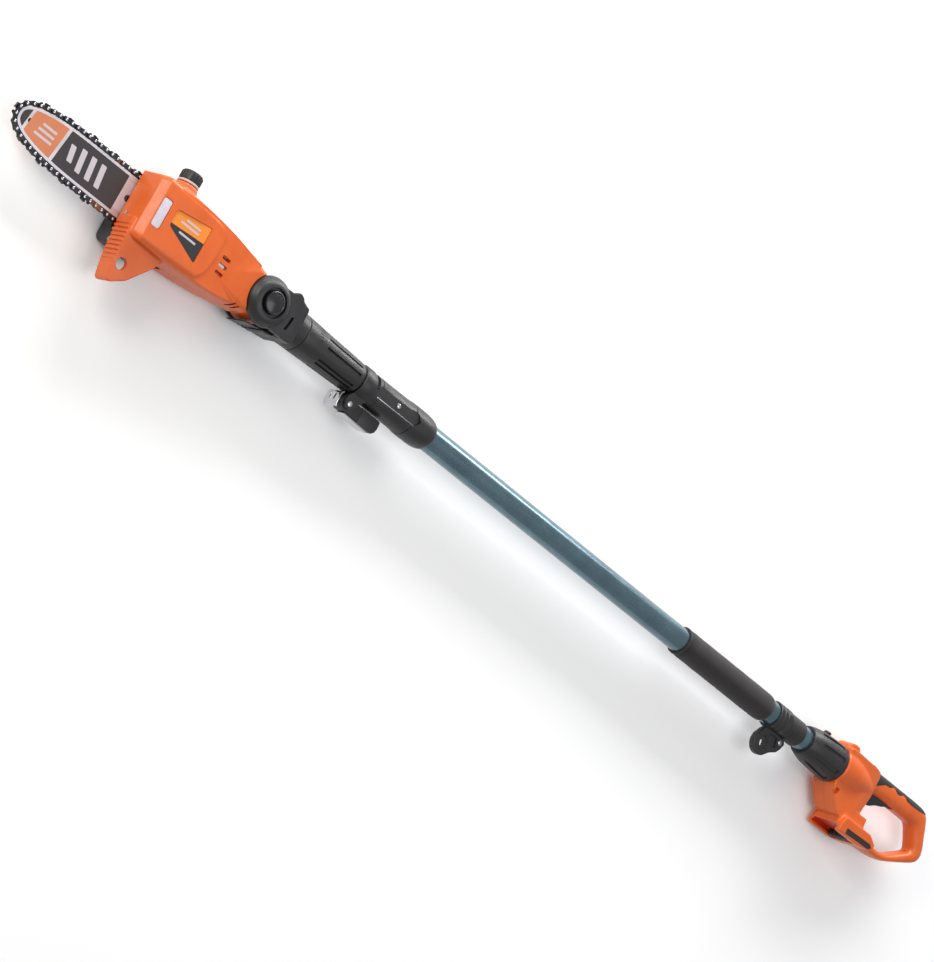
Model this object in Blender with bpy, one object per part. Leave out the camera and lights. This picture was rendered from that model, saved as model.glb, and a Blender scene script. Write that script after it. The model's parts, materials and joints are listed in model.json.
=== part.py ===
"""Telescoping cordless pole saw, lying on its right-hand side.

The sizes below are millimetres in the tool's own axes, and place() turns them into metres:
  x runs along the pole, from the mouth of the clamp (0) back to the handle, so the bar points to -x
  y is up on the tool, the side of the oil cap and the lock-off button, and y = 0 is the pole's axis
  h stands out of the tool's left-hand face, and h = 0 is the seam of the housings
In the world x and y keep their directions, h is +Z, and the floor is Z = 0.
"""
import math

import bmesh
import bpy
from mathutils import Matrix, Vector

MM = 0.001
GAP = 0.3                      # between pieces that touch or slide on each other
SEAM = 0.15                    # half of the gap between two housing halves
RUN = 0.08                     # radial clearance of a shaft in its bearing

# --- pole
TUBE_R = 17.5
TUBE_WALL = 1.4
TUBE_FRONT = -120.0
TUBE_REAR = 985.0
INNER_WALL = 1.3
INNER_R = TUBE_R - TUBE_WALL - GAP
INNER_FRONT = -262.0
INNER_REAR = 640.0
LEAD_R = 5.0

# --- clamp
CLAMP_FRONT = -156.0
CLAMP_REAR = -16.0
CLAMP_R = TUBE_R + 4.3
SLIT_X = -133.0
SLIT_W = 4.0
LEVER_X = -154.0
LEVER_Y = -TUBE_R - 15.5
LEVER_LEN = 60.0
CAM_HIGH = 11.5                # this side of the cam presses the pad on the inner tube
CAM_LOW = 10.3
LEVER_HALF = 8.4
LUG_OUT = 13.0
GUARD_OUT = 17.2               # the bracket clears the lever's plate as it swings past
PIN_R = 2.4

# --- grip, strap ring and collar
FOAM_FRONT = 540.0
FOAM_REAR = 746.0
FOAM_R = TUBE_R + 3.5
RING_FRONT = 763.0
RING_REAR = 792.0
RING_R = TUBE_R + 3.0
EYE_X = 770.0
EYE_Y = -TUBE_R - 24.5
EYE_R = 18.0
EYE_HOLE_R = 8.0
EYE_HALF = 5.0
SLEEVE_REAR = 828.0
SLEEVE_R = TUBE_R + 1.9
COLLAR_FRONT = 845.0
COLLAR_REAR = 921.0
COLLAR_R0 = TUBE_R + 5.0
COLLAR_R1 = TUBE_R + 12.0
NUB_X = 884.0
NUB_R = 6.0
NUB_TRAVEL = 2.5

# --- handle
BODY_HALF = TUBE_R + 4.5
SOCKET_R = TUBE_R + 13.5
SOCKET_REAR = 947.0
WALL = 2.6
GRIP_HALF = 16.0
GRIP_Y0 = -1.0
GRIP_Y1 = 30.5
D_REAR = 1170.0
FOOT_HALF = 26.6
FOOT_FRONT = 960.5
FOOT_ROOF = -72.0
FOOT_BASE = -82.0
SLOT_HALF = 22.5
SLOT_REAR = 1012.0
TERMINAL_FRONT = 1000.0
TRIGGER_X = 1066.0
TRIGGER_Y = 5.0
TRIGGER_HALF = 7.6
LOCK_X = 1000.0
LOCK_R = 7.5
LOCK_TOP = 36.5
LOCK_TRAVEL = 3.5

# --- pivot
PIVOT_X = -342.0
KNUCKLE_R = 29.0
KNUCKLE_HALF = 21.4
CHEEK_R = 32.0
CHEEK_IN = KNUCKLE_HALF + GAP
CHEEK_OUT = 36.0
BOLT_R = 5.0
BUTTON_R = 14.5
BUTTON_TOP = 38.6
BUTTON_TRAVEL = 4.0
YOKE_REAR = -268.0
YOKE_R = INNER_R + 9.4
SLEEVE_END = -158.0

# --- saw head
HEAD_FRONT = -564.0
HEAD_HALF_H = 36.0
HEAD_WALL = 3.0
REAR_HALF_X = -477.0           # behind this the right-hand half shell begins
GEAR_WALL_H = -6.5             # the left shell's flat back, facing the bar
HOOK_IN = 24.0
HEAD_SCREW_X = -470.0
HEAD_SCREW_Y = (30.0, -30.0)
COVER_FRONT = -561.0
COVER_OUT = -37.0
COVER_WALL = 2.5
SIDE = -COVER_OUT              # height of the seam plane above the floor

# --- bar and chain
BAR_H = -10.0
BAR_T = 4.0
BAR_HALF = 26.5
BAR_TIP = -744.0
BAR_NOSE_LEN = 118.0
BAR_TAIL = -533.0
SLOT_FRONT = -569.0
SLOT_BACK = -538.0
STUD_X = -549.0
STUD_R = 4.0
CHAIN_T = 6.4
CHAIN_RISE = 8.0
SPROCKET_X = -513.0
SPROCKET_R = 16.0
NOSE_X = -727.0
NOSE_R = 11.5
NOSE_T = 1.4

# --- drive
SHAFT_R = 5.0
CROWN_R = 24.0
CROWN_BACK = -3.2
CROWN_FACE = -0.7
TOOTH_H = 2.6
CROWN_TEETH = 24
PINION_TEETH = 6
PINION_R = 6.4
PINION_ROOT = 3.6
MESH_DEPTH = 1.0               # how far the pinion's teeth dip between the crown's
MOTOR_AXIS_H = CROWN_FACE + TOOTH_H - MESH_DEPTH + PINION_R
MOTOR_FRONT = -462.0
MOTOR_REAR = -402.0
MOTOR_R = 18.0

# --- oil and chain tension
CAP_X = -515.0
CAP_R = 14.0
CAP_TOP = 69.0
NECK_TOP = 60.0
TANK_FRONT = -549.0
TANK_REAR = -534.0
SCREW_Y = -17.0
SCREW_H = 2.0
PIN_X = -547.0
PIN_Y = -16.0

# The bounding box's middle on the ground plane is the origin.
CHAIN_FRONT = BAR_TIP - GAP - CHAIN_RISE
HOOK_BASE = -100.0
MID_X = (CHAIN_FRONT + D_REAR) / 2
MID_Y = (HOOK_BASE + CAP_TOP) / 2

ORANGE = (0.82, 0.19, 0.03)
BLACK = (0.02, 0.02, 0.022)
TEAL = (0.10, 0.15, 0.165)
STEEL = (0.55, 0.55, 0.56)


def material(name, colour, roughness, metallic=0.0):
    """One Principled material for one sub-part."""
    mat = bpy.data.materials.new(name)
    mat.use_nodes = True
    shader = mat.node_tree.nodes["Principled BSDF"]
    shader.inputs["Base Color"].default_value = (*colour, 1.0)
    shader.inputs["Roughness"].default_value = roughness
    shader.inputs["Metallic"].default_value = metallic
    mat.diffuse_color = (*colour, 1.0)
    return mat


def place(x, y, h):
    """A point of the tool, in world metres."""
    return Vector((x - MID_X, y - MID_Y, h + SIDE)) * MM


def add(name, bm, look, at=(0, 0, 0)):
    """Make the bmesh, in tool millimetres, an object whose origin is the point `at`."""
    bmesh.ops.remove_doubles(bm, verts=bm.verts, dist=0.001)
    bmesh.ops.recalc_face_normals(bm, faces=bm.faces)
    bmesh.ops.translate(bm, verts=bm.verts, vec=-Vector(at))
    bmesh.ops.scale(bm, verts=bm.verts, vec=(MM, MM, MM))
    mesh = bpy.data.meshes.new(name)
    bm.to_mesh(mesh)
    bm.free()
    mesh.shade_smooth()
    mesh.set_sharp_from_angle(angle=math.radians(35))
    ob = bpy.data.objects.new(name, mesh)
    ob.location = place(*at)
    bpy.context.collection.objects.link(ob)
    if look:
        mesh.materials.append(material(name, *look))
    return ob


def combine(target, other, operation):
    """A Boolean with a hidden helper object."""
    other.hide_render = True
    other.display_type = "WIRE"
    mod = target.modifiers.new(other.name, "BOOLEAN")
    mod.operation = operation
    mod.solver = "EXACT"
    mod.object = other


def cut(target, *cutters):
    for cutter in cutters:
        combine(target, cutter, "DIFFERENCE")


def join(target, *others):
    for other in others:
        combine(target, other, "UNION")


def prism(outline, low, high, axis="h"):
    """Extrude a flat outline: (x, y) along h, (y, h) along x or (x, h) along y."""
    bm = bmesh.new()
    spots = {
        "h": lambda u, v: (u, v, low),
        "x": lambda u, v: (low, u, v),
        "y": lambda u, v: (u, low, v),
    }[axis]
    step = {"h": (0, 0, 1), "x": (1, 0, 0), "y": (0, 1, 0)}[axis]
    face = bm.faces.new([bm.verts.new(spots(u, v)) for u, v in outline])
    grown = bmesh.ops.extrude_face_region(bm, geom=[face])
    moved = [v for v in grown["geom"] if isinstance(v, bmesh.types.BMVert)]
    bmesh.ops.translate(bm, verts=moved, vec=Vector(step) * (high - low))
    return bm


def block(x0, x1, y0, y1, h0, h1):
    return prism([(x0, y0), (x1, y0), (x1, y1), (x0, y1)], h0, h1)


def turned(profile, axis, centre, steps=24):
    """Spin a profile of (distance along the axis, radius) about an axis through centre.

    A profile whose first and last radius are 0 makes a solid, any other a closed ring.
    """
    along = {"x": Vector((1, 0, 0)), "y": Vector((0, 1, 0)), "h": Vector((0, 0, 1))}[axis]
    out = {"x": Vector((0, 1, 0)), "y": Vector((0, 0, 1)), "h": Vector((1, 0, 0))}[axis]
    bm = bmesh.new()
    middle = Vector(centre)
    verts = [bm.verts.new(middle + along * a + out * r) for a, r in profile]
    edges = [bm.edges.new(pair) for pair in zip(verts, verts[1:])]
    if profile[0][1] > 0:
        edges.append(bm.edges.new((verts[-1], verts[0])))
    bmesh.ops.spin(bm, geom=verts + edges, cent=middle, axis=along, dvec=(0, 0, 0),
                   angle=2 * math.pi, steps=steps, use_merge=True, use_duplicate=False)
    bmesh.ops.remove_doubles(bm, verts=bm.verts, dist=0.001)
    if profile[0][1] == 0:
        bmesh.ops.dissolve_limit(bm, angle_limit=0.001, verts=bm.verts, edges=bm.edges)
    return bm


def rod(axis, centre, start, end, radius, steps=16):
    """A solid cylinder, from start to end along its axis."""
    turn = {"x": Matrix.Rotation(math.pi / 2, 4, "Y"), "y": Matrix.Rotation(-math.pi / 2, 4, "X"),
            "h": Matrix.Identity(4)}[axis]
    along = {"x": Vector((1, 0, 0)), "y": Vector((0, 1, 0)), "h": Vector((0, 0, 1))}[axis]
    middle = Vector(centre) + along * (start + end) / 2
    bm = bmesh.new()
    bmesh.ops.create_cone(bm, cap_ends=True, segments=steps, radius1=radius, radius2=radius,
                          depth=end - start, matrix=Matrix.Translation(middle) @ turn)
    return bm


def pipe(axis, centre, start, end, outer, inner, steps=24):
    """A plain tube."""
    profile = [(start, outer), (end, outer), (end, inner), (start, inner)]
    return turned(profile, axis, centre, steps)


def arc(cx, cy, radius, start, end, steps):
    """Points on a round stretch, angles in degrees."""
    turn = [math.radians(start + (end - start) * i / steps) for i in range(steps + 1)]
    return [(cx + radius * math.cos(t), cy + radius * math.sin(t)) for t in turn]


def rounded(u0, u1, v0, v1, radius, steps=3):
    """A rectangle's outline with rounded corners."""
    r = radius
    points = arc(u1 - r, v1 - r, r, 0, 90, steps) + arc(u0 + r, v1 - r, r, 90, 180, steps)
    return points + arc(u0 + r, v0 + r, r, 180, 270, steps) + arc(u1 - r, v0 + r, r, 270, 360, steps)


def loft(sections):
    """Skin equal rings of (y, h) points, each at its own x, and cap both ends."""
    bm = bmesh.new()
    rings = []
    for x, points in sections:
        verts = [bm.verts.new((x, y, h)) for y, h in points]
        rings.append([bm.edges.new((verts[i - 1], verts[i])) for i in range(len(verts))])
    for first, second in zip(rings, rings[1:]):
        bmesh.ops.bridge_loops(bm, edges=first + second)
    for ring in (rings[0], rings[-1]):
        bmesh.ops.contextual_create(bm, geom=ring)
    return bm


def offset(points, distance):
    """Move a closed outline outwards along its normals; it runs anticlockwise."""
    moved = []
    for i, (x, y) in enumerate(points):
        (xa, ya), (xb, yb) = points[i - 1], points[(i + 1) % len(points)]
        first = Vector((y - ya, xa - x)).normalized()
        second = Vector((yb - y, x - xb)).normalized()
        normal = (first + second).normalized()
        reach = distance / max(normal.dot(first), 0.5)
        moved.append((x + normal.x * reach, y + normal.y * reach))
    return moved


# ---------------------------------------------------------------- saw head

HEAD_STATIONS = (              # x, half height, half width
    (-549.0, 43.0, HEAD_HALF_H),
    (-500.0, 43.5, HEAD_HALF_H),
    (-450.0, 41.0, 34.5),
    (-410.0, 37.5, 31.5),
    (-376.0, 31.5, 27.0),
    (-356.0, 29.0, 24.5),
)


def head_ring(high, wide, back, radius):
    return rounded(-high, high, back, wide, radius, 3)


def left_shell():
    """The half with the gear case wall, the bumper rim and the hanging hook."""
    look = (ORANGE, 0.38)
    first = (HEAD_FRONT, head_ring(40.0, 26.0, GEAR_WALL_H, 6.0))
    rings = [first, (HEAD_STATIONS[0][0], head_ring(43.0, HEAD_HALF_H, GEAR_WALL_H, 6.0))]
    rings += [(x, head_ring(high, wide, GEAR_WALL_H, 6.0)) for x, high, wide in HEAD_STATIONS[1:]]
    shell = add("head_shell_left", loft(rings), look)
    hook = [(HEAD_FRONT, -30.0), (-560.0, -65.0), (-552.0, HOOK_BASE), (-547.0, -99.0)]
    hook += [(-529.0, -87.0), (-505.0, -56.0), (-496.0, -40.0), (-496.0, -25.0), (HEAD_FRONT, -25.0)]
    join(shell, add("join.hook", prism(hook, GEAR_WALL_H, HOOK_IN), None))
    knuckle = rod("h", (PIVOT_X, 0, 0), SEAM, KNUCKLE_HALF, KNUCKLE_R, 24)
    join(shell, add("join.knuckle_left", knuckle, None))
    back = REAR_HALF_X - GAP
    cut(shell, add("cut.left_rear", block(back, -300, -60, 60, -20, SEAM), None))
    wall = GEAR_WALL_H + HEAD_WALL
    hollow = [(HEAD_FRONT + 3.0, head_ring(36.5, 22.5, wall, 3.0))]
    for x, high, wide in HEAD_STATIONS[:-2]:
        hollow.append((x, head_ring(high - HEAD_WALL, wide - HEAD_WALL, wall, 3.0)))
    hollow.append((-380.0, head_ring(26.0, 21.5, wall, 3.0)))
    cut(shell, add("cut.left_hollow", loft(hollow), None))
    dish = rod("h", (PIVOT_X, 0, 0), KNUCKLE_HALF, 60, CHEEK_R + 0.8, 28)
    cut(shell, add("cut.left_dish", dish, None))
    bore = rod("h", (PIVOT_X, 0, 0), -1, 60, BOLT_R + RUN, 24)
    cut(shell, add("cut.left_bore", bore, None))
    cut(shell, add("cut.hang_hole", rod("h", (-546.0, -74.0, 0), -20, 40, 7.5, 20), None))
    cut(shell, add("cut.oil_neck", rod("y", (CAP_X, 0, 12.0), 30, 60, 9.0 + GAP, 24), None))
    cut(shell, add("cut.window", block(-548.5, -534.5, -19.5, 18.5, 20, HEAD_HALF_H + 4), None))
    cut(shell, add("cut.shaft_left", rod("h", (SPROCKET_X, 0, 0), -20, 2, 8.0 + GAP, 24), None))
    cut(shell, add("cut.stud", rod("h", (STUD_X, 0, 0), -20, 0, STUD_R + RUN, 16), None))
    screw = rod("x", (0, SCREW_Y, SCREW_H), HEAD_FRONT - 5, -520, 2.5 + RUN, 16)
    cut(shell, add("cut.tension", screw, None))
    travel = block(PIN_X - 8, PIN_X + 8, SCREW_Y - 3.0, SCREW_Y + 3.0, -20, 7.0)
    cut(shell, add("cut.tension_slot", travel, None))
    for i in range(3):
        y = 7.0 - 10.0 * i
        cut(shell, add(f"cut.vent_{i}", block(-434, -422, y - 2.2, y + 2.2, 15, 40), None))
    label = [(-524.0, 15.0), (-524.0, -6.0), (-470.0, -24.0), (-470.0, 23.0)]
    cut(shell, add("cut.label", prism(label, HEAD_HALF_H - 2.8, HEAD_HALF_H + 14), None))


def right_shell():
    """The rear half on the other side, behind the sprocket cover."""
    rings = []
    stations = [(REAR_HALF_X, 42.4, 35.3)] + list(HEAD_STATIONS[2:])
    for x, high, wide in stations:
        rings.append((x, rounded(-high, high, -wide, -SEAM, 6.0, 3)))
    shell = add("head_shell_right", loft(rings), (ORANGE, 0.38))
    knuckle = rod("h", (PIVOT_X, 0, 0), -KNUCKLE_HALF, -SEAM, KNUCKLE_R, 24)
    join(shell, add("join.knuckle_right", knuckle, None))
    hollow = [(REAR_HALF_X + HEAD_WALL, rounded(-39.0, 39.0, -32.0, 5.0, 3.0))]
    hollow.append((-450.0, rounded(-38.0, 38.0, -31.5, 5.0, 3.0)))
    hollow.append((-410.0, rounded(-34.5, 34.5, -28.5, 5.0, 3.0)))
    hollow.append((-380.0, rounded(-26.0, 26.0, -21.5, 5.0, 3.0)))
    cut(shell, add("cut.right_hollow", loft(hollow), None))
    dish = rod("h", (PIVOT_X, 0, 0), -60, -KNUCKLE_HALF, CHEEK_R + 0.8, 28)
    cut(shell, add("cut.right_dish", dish, None))
    bore = rod("h", (PIVOT_X, 0, 0), -60, 1, BOLT_R + RUN, 24)
    cut(shell, add("cut.right_bore", bore, None))
    for i in range(3):
        y = 7.0 - 10.0 * i
        cut(shell, add(f"cut.vent_r{i}", block(-434, -422, y - 2.2, y + 2.2, -40, -15), None))
    for i, y in enumerate(HEAD_SCREW_Y):
        hole = rod("h", (HEAD_SCREW_X, y, 0), -40, 0, 2.3, 12)
        cut(shell, add(f"cut.screw_{i}", hole, None))


def head_screws():
    for i, y in enumerate(HEAD_SCREW_Y):
        screw = rod("h", (HEAD_SCREW_X, y, 0), -34.0, -9.0, 2.1, 12)
        add(f"head_screw_{i + 1}", screw, (STEEL, 0.35, 1.0))


def trim():
    """Window, label, oil filler and its tank."""
    top = HEAD_HALF_H - HEAD_WALL - 1.8
    window = block(-548.2, -534.8, -19.2, 18.2, top + GAP, HEAD_HALF_H - 0.6)
    add("oil_window", window, ((0.72, 0.70, 0.78), 0.2))
    label = [(-523.4, 14.4), (-523.4, -5.6), (-470.6, -23.2), (-470.6, 22.0)]
    add("side_label", prism(label, HEAD_HALF_H - 2.5, HEAD_HALF_H - 1.7), (BLACK, 0.45))
    tank = add("oil_tank", block(TANK_FRONT, TANK_REAR, -30.0, 38.0, 8.0, top), ((0.7, 0.66, 0.6), 0.4))
    shelf = block(TANK_FRONT + 5, CAP_X + 12.0, 26.0, 38.0, 3.0, 25.0)
    neck = rod("y", (CAP_X, 0, 12.0), 30.0, NECK_TOP, 9.0, 24)
    join(tank, add("join.tank_shelf", shelf, None), add("join.neck", neck, None))
    cut(tank, add("cut.tank", block(TANK_FRONT + 2, TANK_REAR - 2, -28.0, 36.0, 10.0, top - 2), None))
    cut(tank, add("cut.tank_shelf", block(TANK_FRONT + 7, CAP_X + 10.0, 28.0, 36.0, 5.0, 23.0), None))
    cut(tank, add("cut.neck", rod("y", (CAP_X, 0, 12.0), 30.0, 70.0, 6.5, 24), None))
    seal = pipe("y", (CAP_X, 0, 12.0), 52.5, 55.5, CAP_R, 9.0 + GAP, 24)
    add("cap_seal", seal, ((0.75, 0.68, 0.66), 0.6))
    low = 55.5 + GAP
    cap = [(CAP_TOP - 3, 0), (CAP_TOP - 3, 9.0 + GAP), (low, 9.0 + GAP), (low, CAP_R)]
    cap += [(CAP_TOP - 1.5, CAP_R), (CAP_TOP, CAP_R - 1.5), (CAP_TOP, 0)]
    bm = turned(cap, "y", (CAP_X, 0, 12.0), 24)
    add("oil_cap", bm, (BLACK, 0.5), at=(CAP_X, CAP_TOP, 12.0))


def oil_pump():
    """The small pump beside the sprocket shaft that oils the chain."""
    pump = block(-482.0, -466.0, 8.0, 24.0, 0.6, 9.0)
    add("oil_pump", pump, ((0.6, 0.6, 0.6), 0.5))


def sprocket_cover():
    """The moulded cover over the sprocket and the bar's foot."""
    y0, y1, x1 = -54.0, 44.0, REAR_HALF_X - GAP - 0.5
    outline = [(COVER_FRONT, y0 + 4), (COVER_FRONT + 4, y0), (x1 - 16, y0), (x1, y0 + 18)]
    outline += [(x1, y1 - 14), (x1 - 12, y1), (COVER_FRONT + 14, y1), (COVER_FRONT, y1 - 12)]
    top = GEAR_WALL_H - GAP
    cover = add("sprocket_cover", prism(outline, COVER_OUT, top), (BLACK, 0.45))
    inner = offset(outline, -COVER_WALL)
    cut(cover, add("cut.cover", prism(inner, COVER_OUT + COVER_WALL, top + 5), None))
    boss = rod("h", (STUD_X, 0, 0), COVER_OUT + 1.0, BAR_H - BAR_T / 2 - GAP, 9.0, 24)
    join(cover, add("join.boss", boss, None))
    mouth = block(COVER_FRONT - 5, COVER_FRONT + 20, -37.5, 37.5, BAR_H - CHAIN_T / 2 - 1.2, top + 5)
    cut(cover, add("cut.mouth", mouth, None))
    cut(cover, add("cut.cover_bore", rod("h", (STUD_X, 0, 0), -60, 0, STUD_R + RUN, 16), None))
    sink = rod("h", (STUD_X, 0, 0), -60, COVER_OUT + 8.0, 8.0, 24)
    cut(cover, add("cut.cover_sink", sink, None))


def bar_half(x):
    """Half the bar's depth: parallel at the root and a long oval nose."""
    start = BAR_TIP + BAR_NOSE_LEN
    if x > start:
        return BAR_HALF
    power = 2.6
    share = min((start - x) / BAR_NOSE_LEN, 1.0)
    return BAR_HALF * (1.0 - share ** power) ** (1.0 / power)


def bar_outline():
    """Anticlockwise, from the tail along the lower edge, round the nose and back."""
    shares = (0.0, 0.25, 0.45, 0.62, 0.76, 0.87, 0.95, 0.99)
    start = BAR_TIP + BAR_NOSE_LEN
    xs = [-560.0] + [start - share * BAR_NOSE_LEN for share in shares]
    upper = [(BAR_TAIL, 18.0)] + [(x, bar_half(x)) for x in xs]
    lower = [(x, -y) for x, y in reversed(upper)]
    return upper + [(BAR_TIP, 0.0)] + lower


def guide_bar():
    outline = bar_outline()
    low, high = BAR_H - BAR_T / 2, BAR_H + BAR_T / 2
    bar = add("guide_bar", prism(outline, low, high), (STEEL, 0.35, 1.0))
    r = STUD_R + GAP
    slot = arc(SLOT_BACK - r, 0, r, -90, 90, 6) + arc(SLOT_FRONT + r, 0, r, 90, 270, 6)
    cut(bar, add("cut.bar_slot", prism(slot, -30, 0), None))
    hole = rod("h", (PIN_X, PIN_Y, 0), -30, 0, 1.6 + GAP, 12)
    cut(bar, add("cut.bar_pin_hole", hole, None))
    rest = NOSE_T / 2 + GAP
    pocket = rod("h", (NOSE_X, 0, 0), BAR_H - rest, BAR_H + rest, NOSE_R + 1.0, 24)
    cut(bar, add("cut.nose_pocket", pocket, None))
    mouth = block(BAR_TIP - 10, NOSE_X, -8.0, 8.0, BAR_H - rest, BAR_H + rest)
    cut(bar, add("cut.nose_mouth", mouth, None))
    bore = rod("h", (NOSE_X, 0, 0), -30, 0, 3.0 + RUN, 16)
    cut(bar, add("cut.nose_bore", bore, None))
    add("nose_rivet", rod("h", (NOSE_X, 0, 0), low, high, 3.0, 16), (STEEL, 0.4, 1.0))
    wheel = toothed(NOSE_X, 0.0, BAR_H - NOSE_T / 2, BAR_H + NOSE_T / 2, NOSE_R, 9.0, 10, 3.0 + 2 * RUN)
    add("nose_sprocket", wheel, (STEEL, 0.4, 1.0), at=(NOSE_X, 0, BAR_H))


def toothed(x, y, low, high, tip, root, teeth, bore):
    """A flat wheel with pointed teeth and a round bore."""
    count = teeth * 4
    bm = bmesh.new()
    outer, inner = [], []
    for i in range(count):
        angle = 2 * math.pi * i / count
        radius = (tip, tip, root, root)[i % 4]
        outer.append(bm.verts.new((x + radius * math.cos(angle), y + radius * math.sin(angle), low)))
        inner.append(bm.verts.new((x + bore * math.cos(angle), y + bore * math.sin(angle), low)))
    loops = []
    for ring in (outer, inner):
        loops += [bm.edges.new((ring[i - 1], ring[i])) for i in range(count)]
    bmesh.ops.bridge_loops(bm, edges=loops)
    grown = bmesh.ops.extrude_face_region(bm, geom=bm.faces[:])
    moved = [v for v in grown["geom"] if isinstance(v, bmesh.types.BMVert)]
    bmesh.ops.translate(bm, verts=moved, vec=(0, 0, high - low))
    return bm


def saw_chain():
    """One closed loop round the bar and the sprocket, as deep as the cutters stand."""
    bar = bar_outline()
    upper = offset(bar, GAP)
    rear_r = 18.6
    keep = [p for p in upper if p[0] < -555.0]
    wrap = arc(SPROCKET_X + 0.6, 0, rear_r, -80, 80, 10)
    inner = keep + wrap
    outer = offset(inner, CHAIN_RISE)
    low, high = BAR_H - CHAIN_T / 2, BAR_H + CHAIN_T / 2
    chain = add("saw_chain", prism(outer, low, high), ((0.1, 0.1, 0.11), 0.4, 1.0))
    cut(chain, add("cut.chain", prism(inner, low - 5, high + 5), None))


def drive_train():
    """Sprocket, its shaft with a crown gear, and the motor with its pinion."""
    wheel = toothed(SPROCKET_X, 0.0, BAR_H - 2.5, BAR_H + 2.5, SPROCKET_R, 13.5, 6, SHAFT_R + RUN)
    add("drive_sprocket", wheel, (STEEL, 0.4, 1.0), at=(SPROCKET_X, 0, BAR_H))
    profile = [(-17.0, 0), (-17.0, SHAFT_R), (24.0, SHAFT_R), (24.0, 0)]
    shaft = turned(profile, "h", (SPROCKET_X, 0, 0), 20)
    add("sprocket_shaft", shaft, (STEEL, 0.3, 1.0), at=(SPROCKET_X, 0, 0))
    bearing = pipe("h", (SPROCKET_X, 0, 0), GEAR_WALL_H + 0.4, CROWN_BACK - GAP, 8.0, SHAFT_R + RUN, 24)
    add("shaft_bearing", bearing, (STEEL, 0.3, 1.0), at=(SPROCKET_X, 0, 0))
    bush = pipe("h", (SPROCKET_X, 0, 0), 19.5, 24.5, 8.0, SHAFT_R + RUN, 24)
    add("shaft_bush", bush, ((0.5, 0.38, 0.2), 0.4, 1.0), at=(SPROCKET_X, 0, 0))
    add("crown_gear", crown(), (STEEL, 0.4, 1.0), at=(SPROCKET_X, 0, 0))
    axis_h = MOTOR_AXIS_H
    gear = add("bevel_pinion", pinion(axis_h), (STEEL, 0.4, 1.0), at=(MOTOR_FRONT, 0, axis_h))
    cut(gear, add("cut.pinion", rod("x", (0, 0, axis_h), -520, -470, 2.0 + GAP, 16), None))
    shaft = rod("x", (0, 0, axis_h), SPROCKET_X + 16.0, MOTOR_REAR + 6, 2.0, 12)
    add("motor_shaft", shaft, (STEEL, 0.3, 1.0), at=(MOTOR_FRONT, 0, axis_h))
    can = pipe("x", (0, 0, axis_h), MOTOR_FRONT, MOTOR_REAR, MOTOR_R, 2.0 + RUN, 24)
    add("motor_can", can, ((0.35, 0.35, 0.36), 0.4, 1.0))


def crown():
    """A disc with teeth standing up from its outer rim."""
    step = 2 * math.pi / CROWN_TEETH
    bm = bmesh.new()
    bore = SHAFT_R + RUN
    inner_r = CROWN_R - 7.0
    rows = [(bore, CROWN_BACK), (CROWN_R, CROWN_BACK), (CROWN_R, None), (inner_r, None), (bore, CROWN_FACE)]
    count = CROWN_TEETH * 4
    rings = []
    for radius, height in rows:
        ring = []
        for i in range(count):
            angle = step * (i / 4.0 - 0.375)
            tooth = (CROWN_FACE + TOOTH_H) if i % 4 in (1, 2) else CROWN_FACE
            h = tooth if height is None else height
            ring.append(bm.verts.new((SPROCKET_X + radius * math.cos(angle), radius * math.sin(angle), h)))
        rings.append(ring)
    for first, second in zip(rings, rings[1:] + rings[:1]):
        for i in range(count):
            bm.faces.new((first[i - 1], first[i], second[i], second[i - 1]))
    return bm


def pinion(axis_h):
    """Spur teeth wide enough to run on the crown's tooth ring."""
    x0 = SPROCKET_X + CROWN_R - 4.5
    x1 = SPROCKET_X + CROWN_R - 0.5
    outline = []
    step = 2 * math.pi / PINION_TEETH
    for i in range(PINION_TEETH):
        for share, radius in ((-0.07, PINION_R), (0.07, PINION_R), (0.25, PINION_ROOT), (0.75, PINION_ROOT)):
            angle = step * (i + 0.5 + share)
            outline.append((radius * math.sin(angle), axis_h - radius * math.cos(angle)))
    return prism(outline, x0, x1, "x")


def bar_clamp():
    """Stud, nut and the chain tensioner."""
    add("bar_stud", rod("h", (STUD_X, 0, 0), -33.0, 4.0, STUD_R, 16), (STEEL, 0.35, 1.0))
    nut = [(STUD_X + 7.2 * math.cos(math.pi * i / 3), 7.2 * math.sin(math.pi * i / 3)) for i in range(6)]
    top = COVER_OUT + 8.0 - GAP
    nut = add("cover_nut", prism(nut, COVER_OUT + 1.0, top), (STEEL, 0.3, 1.0), at=(STUD_X, 0, top))
    cut(nut, add("cut.nut", rod("h", (STUD_X, 0, 0), -60, 0, STUD_R + RUN, 16), None))
    screw = [(HEAD_FRONT + 0.5, 0), (HEAD_FRONT + 0.5, 2.5), (-539.0, 2.5), (-539.0, 0)]
    bm = turned(screw, "x", (0, SCREW_Y, SCREW_H), 16)
    add("tension_screw", bm, (STEEL, 0.35, 1.0), at=(PIN_X, SCREW_Y, SCREW_H))


def tension_block():
    """The threaded block that pushes the bar through its pin."""
    y = SCREW_Y
    bm = block(PIN_X - 4.0, PIN_X + 4.0, y - 2.6 - RUN, y + 2.6 + RUN, -5.6, SCREW_H + 4.0)
    nut = add("tension_block", bm, (STEEL, 0.4, 1.0), at=(PIN_X, y, 0))
    join(nut, add("join.bar_pin", rod("h", (PIN_X, PIN_Y, 0), BAR_H - 1.5, -5.0, 1.6, 12), None))
    cut(nut, add("cut.tension_nut", rod("x", (0, y, SCREW_H), -560, -530, 2.5 + RUN, 16), None))


# ---------------------------------------------------------------- pivot and neck

def mirror_profile(profile, side):
    return [(a * side, r) for a, r in profile]


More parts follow.
